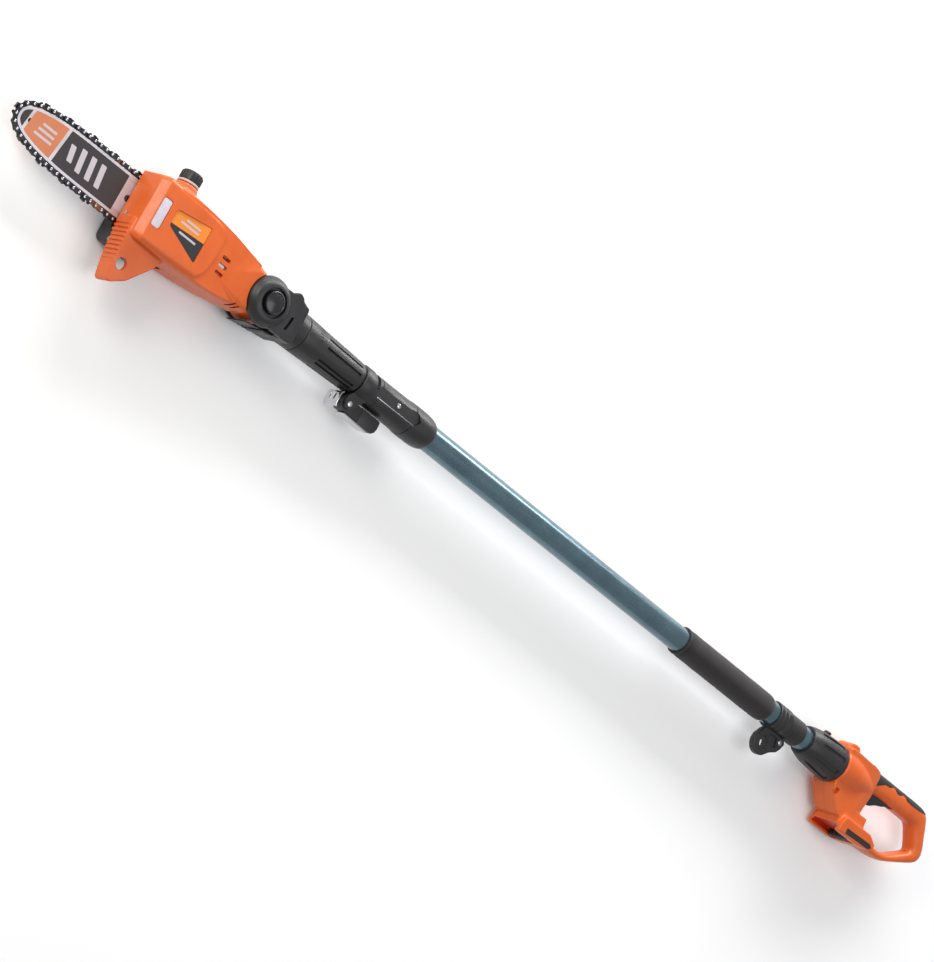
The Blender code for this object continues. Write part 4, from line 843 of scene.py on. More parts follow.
def oil_parts():
    cap = node_middle("oil_cap")
    low, high = node_box("oil_cap")
    top, base, radius = high.y, low.y, (high.x - low.x) / 2
    profile = [(base, 0), (base, radius - 1.4), (base + 0.8, radius - 0.8), (top - 3.0, radius - 0.8),
               (top - 1.0, radius - 1.6), (top - 0.3, radius - 3.2), (top - 0.9, radius - 5.0),
               (top - 0.9, 0)]
    knob = solid(bm_turned(profile, "y", (cap.x, 0, cap.z), 120))
    for i in range(20):
        angle = 2 * math.pi * i / 20
        rib = bm_block(radius - 2.2, radius, base + 1.0, top - 2.4, -0.95, 0.95, 0.6, 2)
        turn = Matrix.Translation((cap.x, 0, cap.z)) @ Matrix.Rotation(angle, 4, "Y")
        bmesh.ops.transform(rib, matrix=turn, verts=rib.verts)
        fuse(knob, rib)
    bar = bm_block(cap.x - 10.5, cap.x + 10.5, top - 2.5, top, cap.z - 1.8, cap.z + 1.8, 0.8, 3)
    fuse(knob, bar)
    finish_piece("oil_filler_cap", knob, black_nylon, "cap", replaces=["oil_cap"])
    low, high = node_box("cap_seal")
    ring = [(low.y, 9.4), (low.y, radius - 0.8), (low.y + 0.7, radius), (high.y - 0.7, radius),
            (high.y, radius - 0.8), (high.y, 9.4)]
    finish_piece("oil_cap_gasket", bm_turned(ring, "y", (cap.x, 0, cap.z), 96), pale_gasket, "saw_head",
                 replaces=["cap_seal"])
    low, high = node_box("oil_window")
    pane = soft_corners([(low.x, low.y), (high.x, low.y), (high.x, high.y), (low.x, high.y)], 3.2)
    glass = bm_prism(pane, high.z - 3.0, high.z + 0.1)
    round_edges(glass, [e for e in glass.edges if min(v.co.z for v in e.verts) > high.z], 0.8, 3)
    finish_piece("oil_sight_window", glass, milky, "saw_head", replaces=["oil_window"])
    label = solid(bm_prism(soft_corners(LABEL[::-1], 2.4), 33.6, 34.7))
    bm = bmesh.new()
    bm.from_mesh(label.data)
    bmesh.ops.bisect_plane(bm, geom=bm.verts[:] + bm.edges[:] + bm.faces[:], dist=0.0005,
                           plane_co=(-497.0, 0, 0),
                           plane_no=(-0.07, 1, 0))
    bm.to_mesh(label.data)
    bm.free()
    start_materials(label, label_orange)
    paint(label, black_nylon, lambda c, n: c.y < 0.07 * (c.x + 497.0))
    finish_piece("side_badge", label, label_orange, "saw_head", replaces=["side_label"])
    bars = []
    for x, y, length in ((-512.0, 6.6, 30.0), (-506.0, 12.2, 24.0), (-508.0, -5.0, 28.0)):
        bars.append(bm_prism(soft_corners([(x, y - 1.3), (x + length, y - 1.3), (x + length, y + 1.3),
                                           (x, y + 1.3)], 1.0, 3), 34.6, 34.78))
    finish_piece("side_badge_stripes", merged(*bars), pale_print, "saw_head")


def sprocket_guard():
    """Moulded cover over the sprocket, with finger ribs and the nut's recess on its outer face."""
    low, high = node_box("sprocket_cover")
    x0, x1, y0, y1 = low.x, high.x, low.y, high.y
    outline = [(x0, y0 + 5), (x0 + 5, y0), (x1 - 16, y0), (x1, y0 + 18), (x1, y1 - 14), (x1 - 12, y1),
               (x0 + 14, y1), (x0, y1 - 12)]
    outline = soft_corners(outline, 6.0)
    cover = bm_prism(outline, low.z, high.z)
    round_edges(cover, [e for e in cover.edges if max(v.co.z for v in e.verts) < low.z + 0.1], 3.0, 4)
    cover = solid(cover)
    carve(cover, bm_prism(outset(outline, -2.5), low.z + 2.5, high.z + 5))
    fuse(cover, bm_rod("h", (STUD.x, 0, 0), low.z + 1.0, BAR_H - BAR_T / 2 - 0.3, 9.0, 48))
    carve(cover, bm_block(x0 - 5, x0 + 20, -37.5, 37.5, BAR_H - 4.4, high.z + 5),
          bm_rod("h", (STUD.x, 0, 0), -60, 0, 4.1, 48), bm_rod("h", (STUD.x, 0, 0), -60, low.z + 8.0, 9.2,
                                                               64))
    for i in range(5):
        x = x1 - 18.0 - 6.0 * i
        carve(cover, bm_block(x - 1.2, x + 1.2, y0 + 14 + 2 * i, y1 - 14 - 2 * i, low.z - 5, low.z + 1.2, 0.5,
                              2))
    finish_piece("sprocket_guard", chamfer(cover, 0.5), black_nylon, "saw_head", replaces=["sprocket_cover"])
    lug = bm_block(x0 + 1.0, x0 + 9.0, y0 + 1.0, y0 + 9.0, high.z - 5.0, high.z - 0.1, 1.0, 2)
    finish_piece("guard_lug", lug, zinc_steel, "saw_head")
    nut_low, nut_high = node_box("cover_nut")
    radius = (nut_high.x - nut_low.x) / 2
    corners = [(STUD.x + radius * math.cos(math.pi * i / 3),
                radius * math.sin(math.pi * i / 3)) for i in range(6)]
    nut = solid(bm_prism(corners, nut_low.z, nut_high.z))
    carve(nut, bm_rod("h", (STUD.x, 0, 0), -60, 0, 4.1, 48))
    finish_piece("bar_nut", chamfer(nut, 0.6), zinc_steel, "nut", replaces=["cover_nut"])
    stud_low, stud_high = node_box("bar_stud")
    rod = bm_turned([(stud_low.z, 0), (stud_low.z, 3.2), (stud_low.z + 0.8, 4.0), (stud_high.z, 4.0),
                     (stud_high.z, 0)], "h", (STUD.x, 0, 0), 48)
    finish_piece("bar_stud_threaded", rod, zinc_steel, "saw_head", replaces=["bar_stud"])


# ---------------------------------------------------------------- tilt joint and neck

BUTTON_TOP = node_box("pivot_button")[1].z
BUTTON_R = (node_box("pivot_button")[1].x - node_box("pivot_button")[0].x) / 2
NECK_LOW, NECK_HIGH = node_box("neck_sleeve")
NECK_R = (NECK_HIGH.y - NECK_LOW.y) / 2
CHEEK_IN, CHEEK_OUT = 21.7, node_box("yoke_left")[1].z


def neck_section(x, high, wide):
    steps = 48
    return [(x, high * math.sin(t),
             wide * math.cos(t)) for t in (2 * math.pi * i / steps for i in range(steps))]


def tilt_joint():
    """Cheek, neck and tongue of each side, melted into one skin and split on the seam."""
    whole = []
    for side in (1, -1):
        disc = [(CHEEK_IN, 0), (CHEEK_IN, 32.0), (CHEEK_IN + 1.8, 32.0), (CHEEK_IN + 5.5, 30.8),
                (CHEEK_OUT - 5.6, 28.4), (CHEEK_OUT - 2.4, 26.0), (CHEEK_OUT - 0.6, 22.6), (CHEEK_OUT, 19.6),
                (CHEEK_OUT - 0.2, 0)]
        whole.append(bm_turned([(a * side, r) for a, r in disc], "h", (PIVOT.x, 0, 0), 96))
        arm = [(PIVOT.x + 6, -27.0), (PIVOT.x + 40.0, -27.0), (PIVOT.x + 58.0, -25.6),
               (PIVOT.x + 58.0, 25.0), (PIVOT.x + 45.0, 25.8), (PIVOT.x + 40.0, 31.5), (PIVOT.x + 31.0, 33.0),
               (PIVOT.x + 25.0, 27.0), (PIVOT.x + 6, 27.0)]
        low, high = span(side, CHEEK_IN, 30.5)
        plate = bm_prism(soft_corners(arm, 4.0), low, high)
        for vert in plate.verts:
            if abs(vert.co.z) > 26:
                vert.co.z -= side * max(0.0, vert.co.x - PIVOT.x - 30.0) * 0.16
        whole.append(plate)
    web = [(PIVOT.x + 31.5, -27.0), (PIVOT.x + 58.0, -25.6), (PIVOT.x + 58.0, 25.0), (PIVOT.x + 41.0, 31.0),
           (PIVOT.x + 33.0, 32.6), (PIVOT.x + 29.0, 27.0)]
    whole.append(bm_prism(soft_corners(web, 3.0), -24.0, 24.0))
    rings = [neck_section(PIVOT.x + 44.0, 26.4, 27.6), neck_section(PIVOT.x + 56.0, 26.0, 26.6),
             neck_section(PIVOT.x + 66.0, 25.5, 25.8), neck_section(NECK_LOW.x - 0.3, NECK_R, NECK_R)]
    whole.append(bm_loft(rings))
    tongue = [(-356.0, -36.4), (-354.5, -33.9), (-343.0, -32.6), (-318.0, -31.6), (-303.0, -24.0),
              (-292.0, -25.5)]
    whole.append(bm_prism(soft_corners(tongue, 1.5), -19.0, 19.0))
    joint = remesh(solid(merged(*whole)), 0.95, 4)
    sweep = bm_rod("h", (PIVOT.x, 0, 0), -CHEEK_IN, CHEEK_IN, 30.2, 96)
    carve(joint, sweep)
    # ring-shaped recess round the button, then the button's own well
    for side in (1, -1):
        low, high = span(side, CHEEK_OUT - 4.0, 60)
        carve(joint, bm_rod("h", (PIVOT.x, 0, 0), low, high, 19.0, 96))
    carve(joint, bm_rod("h", (PIVOT.x, 0, 0), CHEEK_IN + 2.5, 60, BUTTON_R + 0.4, 96))
    # dark slot behind the disc, moulded dimples on the far side
    for side in (1, -1):
        low, high = span(side, 24.0, 60)
        slot = bm_prism(arc(PIVOT.x, 0, 37.5, -24, 4, 8) + arc(PIVOT.x, 0, 41.5, 4, -24, 8), low, high)
        carve(joint, slot)
    for side, name, replaced in ((1, "tilt_cheek_left", "yoke_left"), (-1, "tilt_cheek_right", "yoke_right")):
        half = twin(joint)
        start_materials(half, black_nylon)
        low, high = span(side, SEAM, -200)
        carve(half, bm_block(-600, 0, -200, 200, low, high))
        carve(half, bm_rod("x", POLE_AXIS, NECK_LOW.x - 4, 0, 16.2, 64))
        finish_piece(name, half, black_nylon, "front_pole", replaces=[replaced],
                     sharp=40)
    bpy.data.objects.remove(joint)

    low = node_box("pivot_button")[0].z
    top = BUTTON_TOP
    face = [(low, 0), (low, BUTTON_R), (top - 1.5, BUTTON_R), (top - 0.45, BUTTON_R - 0.35),
            (top, BUTTON_R - 1.0),
            (top - 0.1, BUTTON_R - 1.6), (top - 0.7, BUTTON_R - 2.0), (top - 0.7, BUTTON_R - 2.8),
            (top - 0.35, BUTTON_R - 3.4), (top - 0.35, 0)]
    cap = bm_turned(face, "h", (PIVOT.x, 0, 0), 120)
    finish_piece("tilt_release_button", cap, black_acetal, "tilt_button", replaces=["pivot_button"])
    bolt_low, bolt_high = node_box("pivot_bolt")
    head = [(bolt_low.z, 0), (bolt_low.z, 4.4), (bolt_low.z + 0.6, 5.0), (bolt_high.z, 5.0), (bolt_high.z, 0)]
    finish_piece("tilt_bolt", bm_turned(head, "h", (PIVOT.x, 0, 0), 48), zinc_steel, "front_pole",
                 replaces=["pivot_bolt"])


def neck_sleeve():
    """Tapering sleeve with long flutes and a patch of fine ribs in front of them."""
    end = NECK_HIGH.x
    profile = [(NECK_LOW.x, INNER_BORE), (NECK_LOW.x, NECK_R - 0.6), (NECK_LOW.x + 0.6, NECK_R),
               (-246.0, 24.5),
               (-225.0, 23.6), (-190.0, 22.6), (end - 5, 21.6), (end - 1.0, 21.0), (end, 20.0),
               (end, INNER_BORE)]
    sleeve = solid(bm_turned(profile, "x", POLE_AXIS, 144))
    for angle in (35, 5, -39, -55, 145, 175, -141, -125, 90, -90):
        flute = bm_prism(soft_corners([(-232.0, -1.5), (end - 8.0, -1.5), (end - 8.0, 1.5), (-232.0, 1.5)],
                                      1.4), 20.0, 40.0)
        for vert in flute.verts:
            if vert.co.z < 30:
                vert.co.z -= (vert.co.x + 232.0) * 0.026
        carve(sleeve, roll(flute, angle))
    for angle in (50, 40, 30, 20, 10, 130, 140, 150, 160, 170):
        carve(sleeve, roll(bm_block(-249.0, -236.0, -0.55, 0.55, 24.0, 40.0), angle))
    finish_piece("neck_sleeve_fluted", chamfer(sleeve, 0.35), black_nylon, "front_pole",
                 replaces=["neck_sleeve"])


# ---------------------------------------------------------------- pole

def smooth_tube(name, node, mat, body):
    """A drawn tube, wall and all, in place of the CAD's faceted one."""
    low, high = node_box(node)
    outer = (high.y - low.y) / 2
    wall = 1.35
    profile = [(low.x, outer - wall), (low.x, outer - 0.3), (low.x + 0.3, outer), (high.x - 0.3, outer),
               (high.x, outer - 0.3), (high.x, outer - wall)]
    finish_piece(name, bm_turned(profile, "x", POLE_AXIS, 128), mat, body, replaces=[node])


def foam_sleeve():
    """Foam grip pushed onto the tube, with a firmer ring at its front."""
    low, high = node_box("foam_grip")
    radius = (high.y - low.y) / 2
    profile = [(low.x + 5.0, 17.7), (low.x + 5.0, radius - 1.9)]
    steps = 60
    for i in range(steps + 1):
        x = low.x + 5.6 + (high.x - low.x - 6.2) * i / steps
        end = min(i, steps - i)
        ease = 1.0 - max(0.0, 1 - end / 3.0) ** 2
        swell = 0.1 * math.sin(i * 0.55)
        profile.append((x, radius - 1.7 + 1.3 * ease + swell))
    profile += [(high.x, radius - 1.9), (high.x, 17.7)]
    sleeve = finish_piece("foam_sleeve", bm_turned(profile, "x", POLE_AXIS, 96), foam, "pole",
                          replaces=["foam_grip"])
    ring = [(low.x, 17.7), (low.x, radius - 1.2), (low.x + 0.8, radius - 0.4), (low.x + 3.8, radius - 0.4),
            (low.x + 4.7, radius - 1.2), (low.x + 4.7, 17.7)]
    finish_piece("foam_front_ring", bm_turned(ring, "x", POLE_AXIS, 96), black_rubber, "pole")


LEVER_PIN = (-154.0, -33.0, 0)
LEVER_BORE = 2.5


def clamp_parts():
    front, rear = -156.0, -16.0
    profile = [(front, INNER_BORE), (front, 20.4), (front + 1.2, 21.8), (front + 3.4, 22.6), (-141.0, 22.6),
               (-138.0, 21.9), (-130.0, 21.7), (-100.0, 21.8), (-72.0, 22.0), (-64.0, 22.8), (-56.0, 23.2),
               (-36.0, 23.1), (rear - 10, 22.4), (rear - 4.0, 20.9), (rear - 0.8, 19.6), (rear, 18.6),
               (rear, TUBE_BORE), (-122.0, TUBE_BORE), (-122.0, INNER_BORE)]
    body = solid(bm_turned(profile, "x", POLE_AXIS, 128))
    for side in (1, -1):
        low, high = span(side, 8.7, 13.0)
        ear = soft_corners([(-154.0, -16.0), (-162.0, -24.0), (-162.0, -33.0), (-159.0, -40.0),
                            (-149.0, -40.0),
                            (-146.0, -33.0), (-130.0, -15.0)], 4.0)
        fuse(body, bm_prism(ear, low, high))
    # split collar: a slanted slit over the top, joined underneath
    slit = bm_prism([(-139.5, 24.5), (-131.0, 24.5), (-130.5, 2.0), (-134.5, 2.0)], -40, 40)
    carve(body, slit)
    carve(body, bm_block(-163.0, -136.0, -30, -10, -8.6, 8.6))
    # flat recessed panel on each side with its screw
    for side in (1, -1):
        low, high = span(side, 20.2, 40)
        panel = bm_prism(soft_corners([(-129.0, -6.8), (-56.0, -6.8), (-50.0, 1.5), (-56.0, 10.5),
                                       (-129.0, 10.5)],
                                      2.0), low, high)
        carve(body, panel)
    # finger step and lines underneath the barrel
    for x in (-60.0, -124.5):
        groove = bm_turned([(x - 0.5, 21.3), (x - 0.5, 30.0), (x + 0.5, 30.0), (x + 0.5, 21.3)], "x",
                           POLE_AXIS, 96)
        carve(body, groove)
    carve(body, bm_rod("h", LEVER_PIN, -40, 40, LEVER_BORE, 32))
    finish_piece("clamp_barrel", chamfer(body, 0.45), black_nylon, "pole", replaces=["clamp_body"])
    # painted highlight: a thin bright steel strip along the recessed panel's lower edge stands for the light
    # caught on that edge
    edge = bm_block(-128.5, -57.0, -6.9, -5.9, 20.0, 21.4, 0.3, 2)
    finish_piece("clamp_panel_painted_highlight", edge, bright_steel, "pole")
    screw_profile = [(18.2, 0), (18.2, 1.8), (20.3, 1.8), (20.3, 3.2), (20.9, 3.1), (21.6, 2.2), (21.8, 0)]
    screw = solid(bm_turned(screw_profile, "h", (-91.0, 2.0, 0), 48))
    cross_recess(screw, -91.0, 2.0, 1.8, 0.45, 21.0, 30.0)
    finish_piece("clamp_panel_screw", screw, bright_steel, "pole", replaces=["clamp_screw"])

    # cam lever
    px, py = LEVER_PIN[:2]
    cam = [(px + r * math.cos(t), py + r * math.sin(t)) for r, t in
           ((11.5 - 1.2 * i / 12, math.radians(90 + 90 * i / 12)) for i in range(13))]
    cam += arc(px, py, 10.3, 187, 270, 12)
    tail = px + 60.0
    handle = [(tail - 16, py - 12.9), (tail - 6, py - 12.0), (tail - 1.5, py - 8.0), (tail, py - 2.0),
              (tail - 0.6, -26.8),
              (tail - 2.6, -25.3), (tail - 20, -25.0), (px + 28, -25.0), (px + 24, -25.4),
              (px + 10, py + 6.8)]
    lever = solid(bm_prism(cam + handle, -8.4, 8.4))
    carve(lever, bm_rod("h", LEVER_PIN, -40, 40, LEVER_BORE, 32))
    for side in (1, -1):
        low, high = span(side, 7.6, 20)
        carve(lever, bm_prism([(px + 25.5, -60), (tail + 5, -60), (tail + 5, -20), (px + 27.5, -20)], low,
                              high))
        low, high = span(side, 6.9, 20)
        carve(lever, bm_prism([(px + 25.0, -60), (px + 26.0, -60), (px + 27.6, -20), (px + 26.6, -20)], low,
                              high))
    finish_piece("clamp_lever_cam", chamfer(lever, 0.8, 3), black_nylon, "lever", replaces=["clamp_lever"])
    plate = [(px + 2, py - 11.8), (px + 2, py - 13.4), (px + 44, py - 15.0), (px + 46, py - 14.6),
             (px + 46, py - 13.4)]
    plate = bm_prism(soft_corners(plate, 0.6, 2), -8.2, 8.2)
    finish_piece("lever_strip", plate, nickel_steel, "lever", replaces=["lever_plate"])
    x = px - 17.2
    face = [(x + 1.4, -24.3), (x - 0.6, -25.4), (x - 2.2, -28.0), (x - 2.5, -33.0), (x - 2.4, -40.0),
            (x - 1.4, -44.2), (x + 1.5, -45.4), (x + 1.5, -44.6), (x - 0.4, -43.2), (x - 1.0, -40.0),
            (x - 1.1, -33.0), (x - 0.9, -28.6), (x + 0.2, -26.6), (x + 1.4, -25.6)]
    guard = solid(bm_prism(face, -13.0, 13.0))
    carve(guard, bm_block(x - 10, x + 10, -38.0, -29.0, -5.5, 5.5, 1.5, 3))
    finish_piece("lever_bracket", chamfer(guard, 0.25), nickel_steel, "pole", replaces=["clamp_guard"])
    pin = bm_turned([(-14.2, 0), (-14.2, 1.6), (-13.6, 3.4), (-13.15, 3.4), (-13.15, 2.4), (13.15, 2.4),
                     (13.15, 3.4), (13.6, 3.4), (14.2, 1.6), (14.2, 0)], "h", LEVER_PIN, 48)
    finish_piece("lever_rivet", pin, bright_steel, "pole", replaces=["lever_pin"])


EYE_HOLE_R = 8.0


def strap_ring():
    """Moulded ring with the shoulder-strap eye standing off its underside."""
    eye = Vector((770.0, -42.0))
    front, rear = 763.0, 792.0
    band = [(front, TUBE_BORE), (front, 19.4), (front + 1.0, 20.4), (front + 5.0, 20.5), (front + 6.0, 19.6),
            (front + 8.5, 19.6), (front + 9.5, 20.5), (front + 14.0, 20.5), (front + 15.0, 19.6),
            (front + 17.5, 19.6), (front + 18.5, 20.5), (rear - 1.0, 20.5), (rear, 19.6), (rear, TUBE_BORE)]
    ring = solid(bm_turned(band, "x", POLE_AXIS, 128))
    outline = arc(eye.x, eye.y, 18.0, 150, 322, 28)
    outline += [(eye.x + 20, -48.0), (eye.x + 33, -41.0), (eye.x + 38, -33.0), (eye.x + 41, -25.0),
                (eye.x + 34, -17.0), (eye.x - 4, -16.0)]
    flange = bm_prism(outline, -5.0, 5.0)
    round_rims(flange, 1.3, 3)
    fuse(ring, flange)
    carve(ring, bm_rod("x", POLE_AXIS, 700, rear + 0.5, TUBE_BORE, 128))
    carve(ring, bm_rod("x", POLE_AXIS, rear, 900, 20.6, 96))
    rim = bm_turned([(-6.0, 7.8), (-6.0, 9.4), (-5.0, 10.6), (5.0, 10.6), (6.0, 9.4), (6.0, 7.8)], "h",
                    (eye.x, eye.y, 0), 96)
    fuse(ring, rim)
    carve(ring, bm_rod("h", (eye.x, eye.y, 0), -20, 20, EYE_HOLE_R, 64))
    carve(ring, bm_rod("h", (eye.x + 7, eye.y + 14.5, 0), -20, 20, 1.6, 32))
    # sunk web between the eye and the band
    for side in (1, -1):
        low, high = span(side, 3.4, 20)
        web = soft_corners([(eye.x + 14, -40.0), (eye.x + 26, -38.0), (eye.x + 22, -24.0), (eye.x + 6, -24.0),
                            (eye.x + 8, -29.0)], 2.0)
        carve(ring, bm_prism(web, low, high))
    # clamping gap under the screw
    carve(ring, bm_block(eye.x + 22, eye.x + 50, -50, -12, -0.7, 0.7))
    finish_piece("strap_eye_ring", chamfer(ring, 0.35), black_nylon, "pole", replaces=["strap_ring"])
    at = (eye.x + 30, -27.0, 0)
    screw = solid(bm_turned([(-7.0, 0), (-7.0, 2.2), (5.2, 2.2), (5.2, 4.2), (6.4, 3.9), (7.3, 2.6),
                             (7.5, 0)], "h",
                            at, 48))
    cross_recess(screw, at[0], at[1], 2.4, 0.5, 6.4, 20)
    finish_piece("strap_ring_screw", screw, zinc_steel, "pole", replaces=["ring_screw"])
    low, high = node_box("rubber_sleeve")
    profile = [(low.x, TUBE_BORE), (low.x, 18.6), (low.x + 0.8, 19.4), (low.x + 9.0, 19.4),
               (low.x + 9.6, 18.6),
               (low.x + 10.6, 18.6), (low.x + 11.2, 19.2), (high.x - 1.4, 19.2), (high.x, 18.2),
               (high.x, TUBE_BORE)]
    finish_piece("tube_cuff", bm_turned(profile, "x", POLE_AXIS, 128), black_rubber, "pole",
                 replaces=["rubber_sleeve"])


def twist_collar_ribbed():
    low, high = node_box("twist_collar")
    front, rear = low.x, high.x
    profile = [(front, TUBE_BORE), (front, 21.2), (front + 0.9, 22.2), (front + 3.0, 23.0),
               (front + 12.0, 25.3),
               (front + 22.0, 27.1), (front + 34.0, 28.3), (front + 46.0, 29.0), (rear - 12.0, 29.4),
               (rear - 3.0, 29.45), (rear - 0.8, 29.1), (rear, 28.2), (rear, TUBE_BORE)]
    collar = solid(bm_turned(profile, "x", POLE_AXIS, 160))
    for i in range(9):
        angle = 360.0 * (i + 0.25) / 9
        groove = bm_prism(soft_corners([(front + 16.0, -3.2), (rear - 9.0, -4.0), (rear - 9.0, 4.0),
                                        (front + 16.0, 3.2)], 2.0), 22.0, 40.0)
        for vert in groove.verts:
            if vert.co.z < 30:
                vert.co.z = 25.0 + (vert.co.x - front - 16.0) * 0.05
        carve(collar, roll(groove, angle))
    nub = node_middle("collar_button")
    carve(collar, bm_rod("y", (nub.x, 0, 0), 20.5, 60, 6.3, 48))
    finish_piece("twist_collar_ribbed", chamfer(collar, 0.5), black_nylon, "collar",
                 replaces=["twist_collar"])
    low, high = node_box("collar_button")
    top, radius = high.y, (high.x - low.x) / 2
    dome = [(low.y, 0), (low.y, radius), (top - 2.4, radius), (top - 1.4, radius - 0.5),
            (top - 0.6, radius - 1.8),
            (top - 0.15, radius - 3.6), (top, 0)]
    finish_piece("collar_release_button", bm_turned(dome, "y", (nub.x, 0, 0), 64), black_acetal, "nub",
                 replaces=["collar_button"])


# ---------------------------------------------------------------- handle

GRIP_LOW, GRIP_HIGH = node_box("handle_shell_left")
HANDLE_FRONT = GRIP_LOW.x
FOOT_HALF = GRIP_HIGH.z
FOOT_BASE = GRIP_LOW.y
LOCK = node_middle("lock_off_button")

# the D's ring: a point outside, the point inside across from it, and half the depth there
D_RING = (
    ((982.0, 30.4), (982.0, -4.0), 17.0), ((1005.0, 30.5), (1006.0, -3.0), 16.2),
    ((1030.0, 30.5), (1030.0, -1.2), 16.0), ((1060.0, 30.5), (1060.0, -1.0), 16.0),
    ((1090.0, 30.5), (1090.0, -1.0), 16.0), ((1112.0, 30.4), (1108.0, -1.0), 16.0),
    ((1130.0, 29.2), (1117.0, -1.6), 15.8), ((1142.0, 25.0), (1122.0, -4.0), 15.4),
    ((1150.0, 14.0), (1127.0, -8.5), 15.0), ((1158.0, -2.0), (1133.0, -16.0), 14.6),
    ((1166.0, -17.0), (1140.0, -25.5), 14.2), ((1169.6, -28.0), (1142.6, -30.0), 14.0),
    ((1168.0, -38.0), (1142.0, -34.5), 13.8), ((1160.0, -46.0), (1136.0, -39.0), 13.4),
    ((1138.0, -56.0), (1119.0, -49.0), 13.0), ((1112.0, -66.8), (1100.0, -59.2), 13.0),
    ((1094.0, -73.2), (1086.0, -62.6), 13.4), ((1074.0, -76.2), (1070.0, -63.2), 14.0),
    ((1050.0, -77.4), (1050.0, -60.5), 15.5), ((1024.0, -79.0), (1024.0, -58.0), 17.0),
    ((996.0, -80.0), (996.0, -55.0), 18.0))


def smooth_between(values, steps):
    """Catmull-Rom through rows of numbers."""
    rows = []
    last = len(values) - 1
    for i in range(last):
        p0, p1, p2, p3 = (values[max(i - 1, 0)], values[i], values[i + 1], values[min(i + 2, last)])
        for k in range(steps):
            t = k / steps
            rows.append([0.5 * (2 * b + (c - a) * t + (2 * a - 5 * b + 4 * c - d) * t * t
                                + (3 * b - a - 3 * c + d) * t ** 3) for a, b, c, d in zip(p0, p1, p2, p3)])
    rows.append(list(values[-1]))
    return rows


def d_ring(grow=0.0, points=40, first=0, last=None):
    """The looped part of the handle: an oval section carried round the D."""
    rows = smooth_between([(*outer, *inner, half) for outer, inner, half in D_RING[first:last]], 4)
    rings = []
    power = 2 / 2.7
    for ox, oy, ix, iy, half in rows:
        outer, inner = Vector((ox, oy)), Vector((ix, iy))
        middle, reach = (outer + inner) / 2, (outer - inner) / 2
        reach = reach.normalized() * (reach.length + grow)
        ring = []
        for i in range(points):
            t = 2 * math.pi * i / points
            c = math.copysign(abs(math.cos(t)) ** power, math.cos(t))
            s = math.copysign(abs(math.sin(t)) ** power, math.sin(t))
            spot = middle + reach * c
            ring.append((spot.x, spot.y, (half + grow) * s))
        rings.append(ring)
    return bm_loft(rings)


BODY = [(HANDLE_FRONT, 31.0), (940.0, 32.0), (1004.0, 29.6), (1008.0, 20.0), (1008.0, -10.0), (1003.0, -26.0),
        (999.0, -42.0), (1000.0, -52.0), (1012.0, -61.0), (968.0, -66.0), (948.0, -60.0), (930.0, -40.0),
        (HANDLE_FRONT, -30.0)]
FOOT = [(966.0, -57.0), (1028.0, -57.0), (1046.0, -66.5), (1044.0, -77.0), (1012.0, FOOT_BASE),
        (960.7, FOOT_BASE), (960.7, -71.0)]
RUBBER_EDGE = [(1010.0, 50.0), (1010.0, 31.0), (1006.0, 26.0), (1000.5, 15.0), (1001.5, 10.5), (1008.0, 10.0),
               (1017.0, 15.5), (1026.0, 20.5), (1038.0, 21.2), (1042.5, 24.4), (1047.0, 25.6), (1052.0, 24.2),
               (1056.0, 21.2), (1064.0, 21.2), (1069.0, 24.4), (1074.0, 25.6), (1079.0, 24.2), (1083.0, 21.2),
               (1100.0, 20.6), (1122.0, 21.6), (1136.0, 24.0), (1141.0, 29.0), (1141.0, 50.0)]
SCREW_SPOTS = ((953.0, -32.0), (1150.0, -30.0))


def lock_well():
    """The lock-off button's well and the slot under it for the stem, with room for its travel."""
    low = node_box("lock_off_button")[0]
    return (bm_rod("y", (LOCK.x, 0, 0), 26.0, 60, 7.8, 64),
            bm_block(LOCK.x - 3.0, LOCK.x + 3.0, low.y - 4.2, 27.0, -3.1, 3.1))


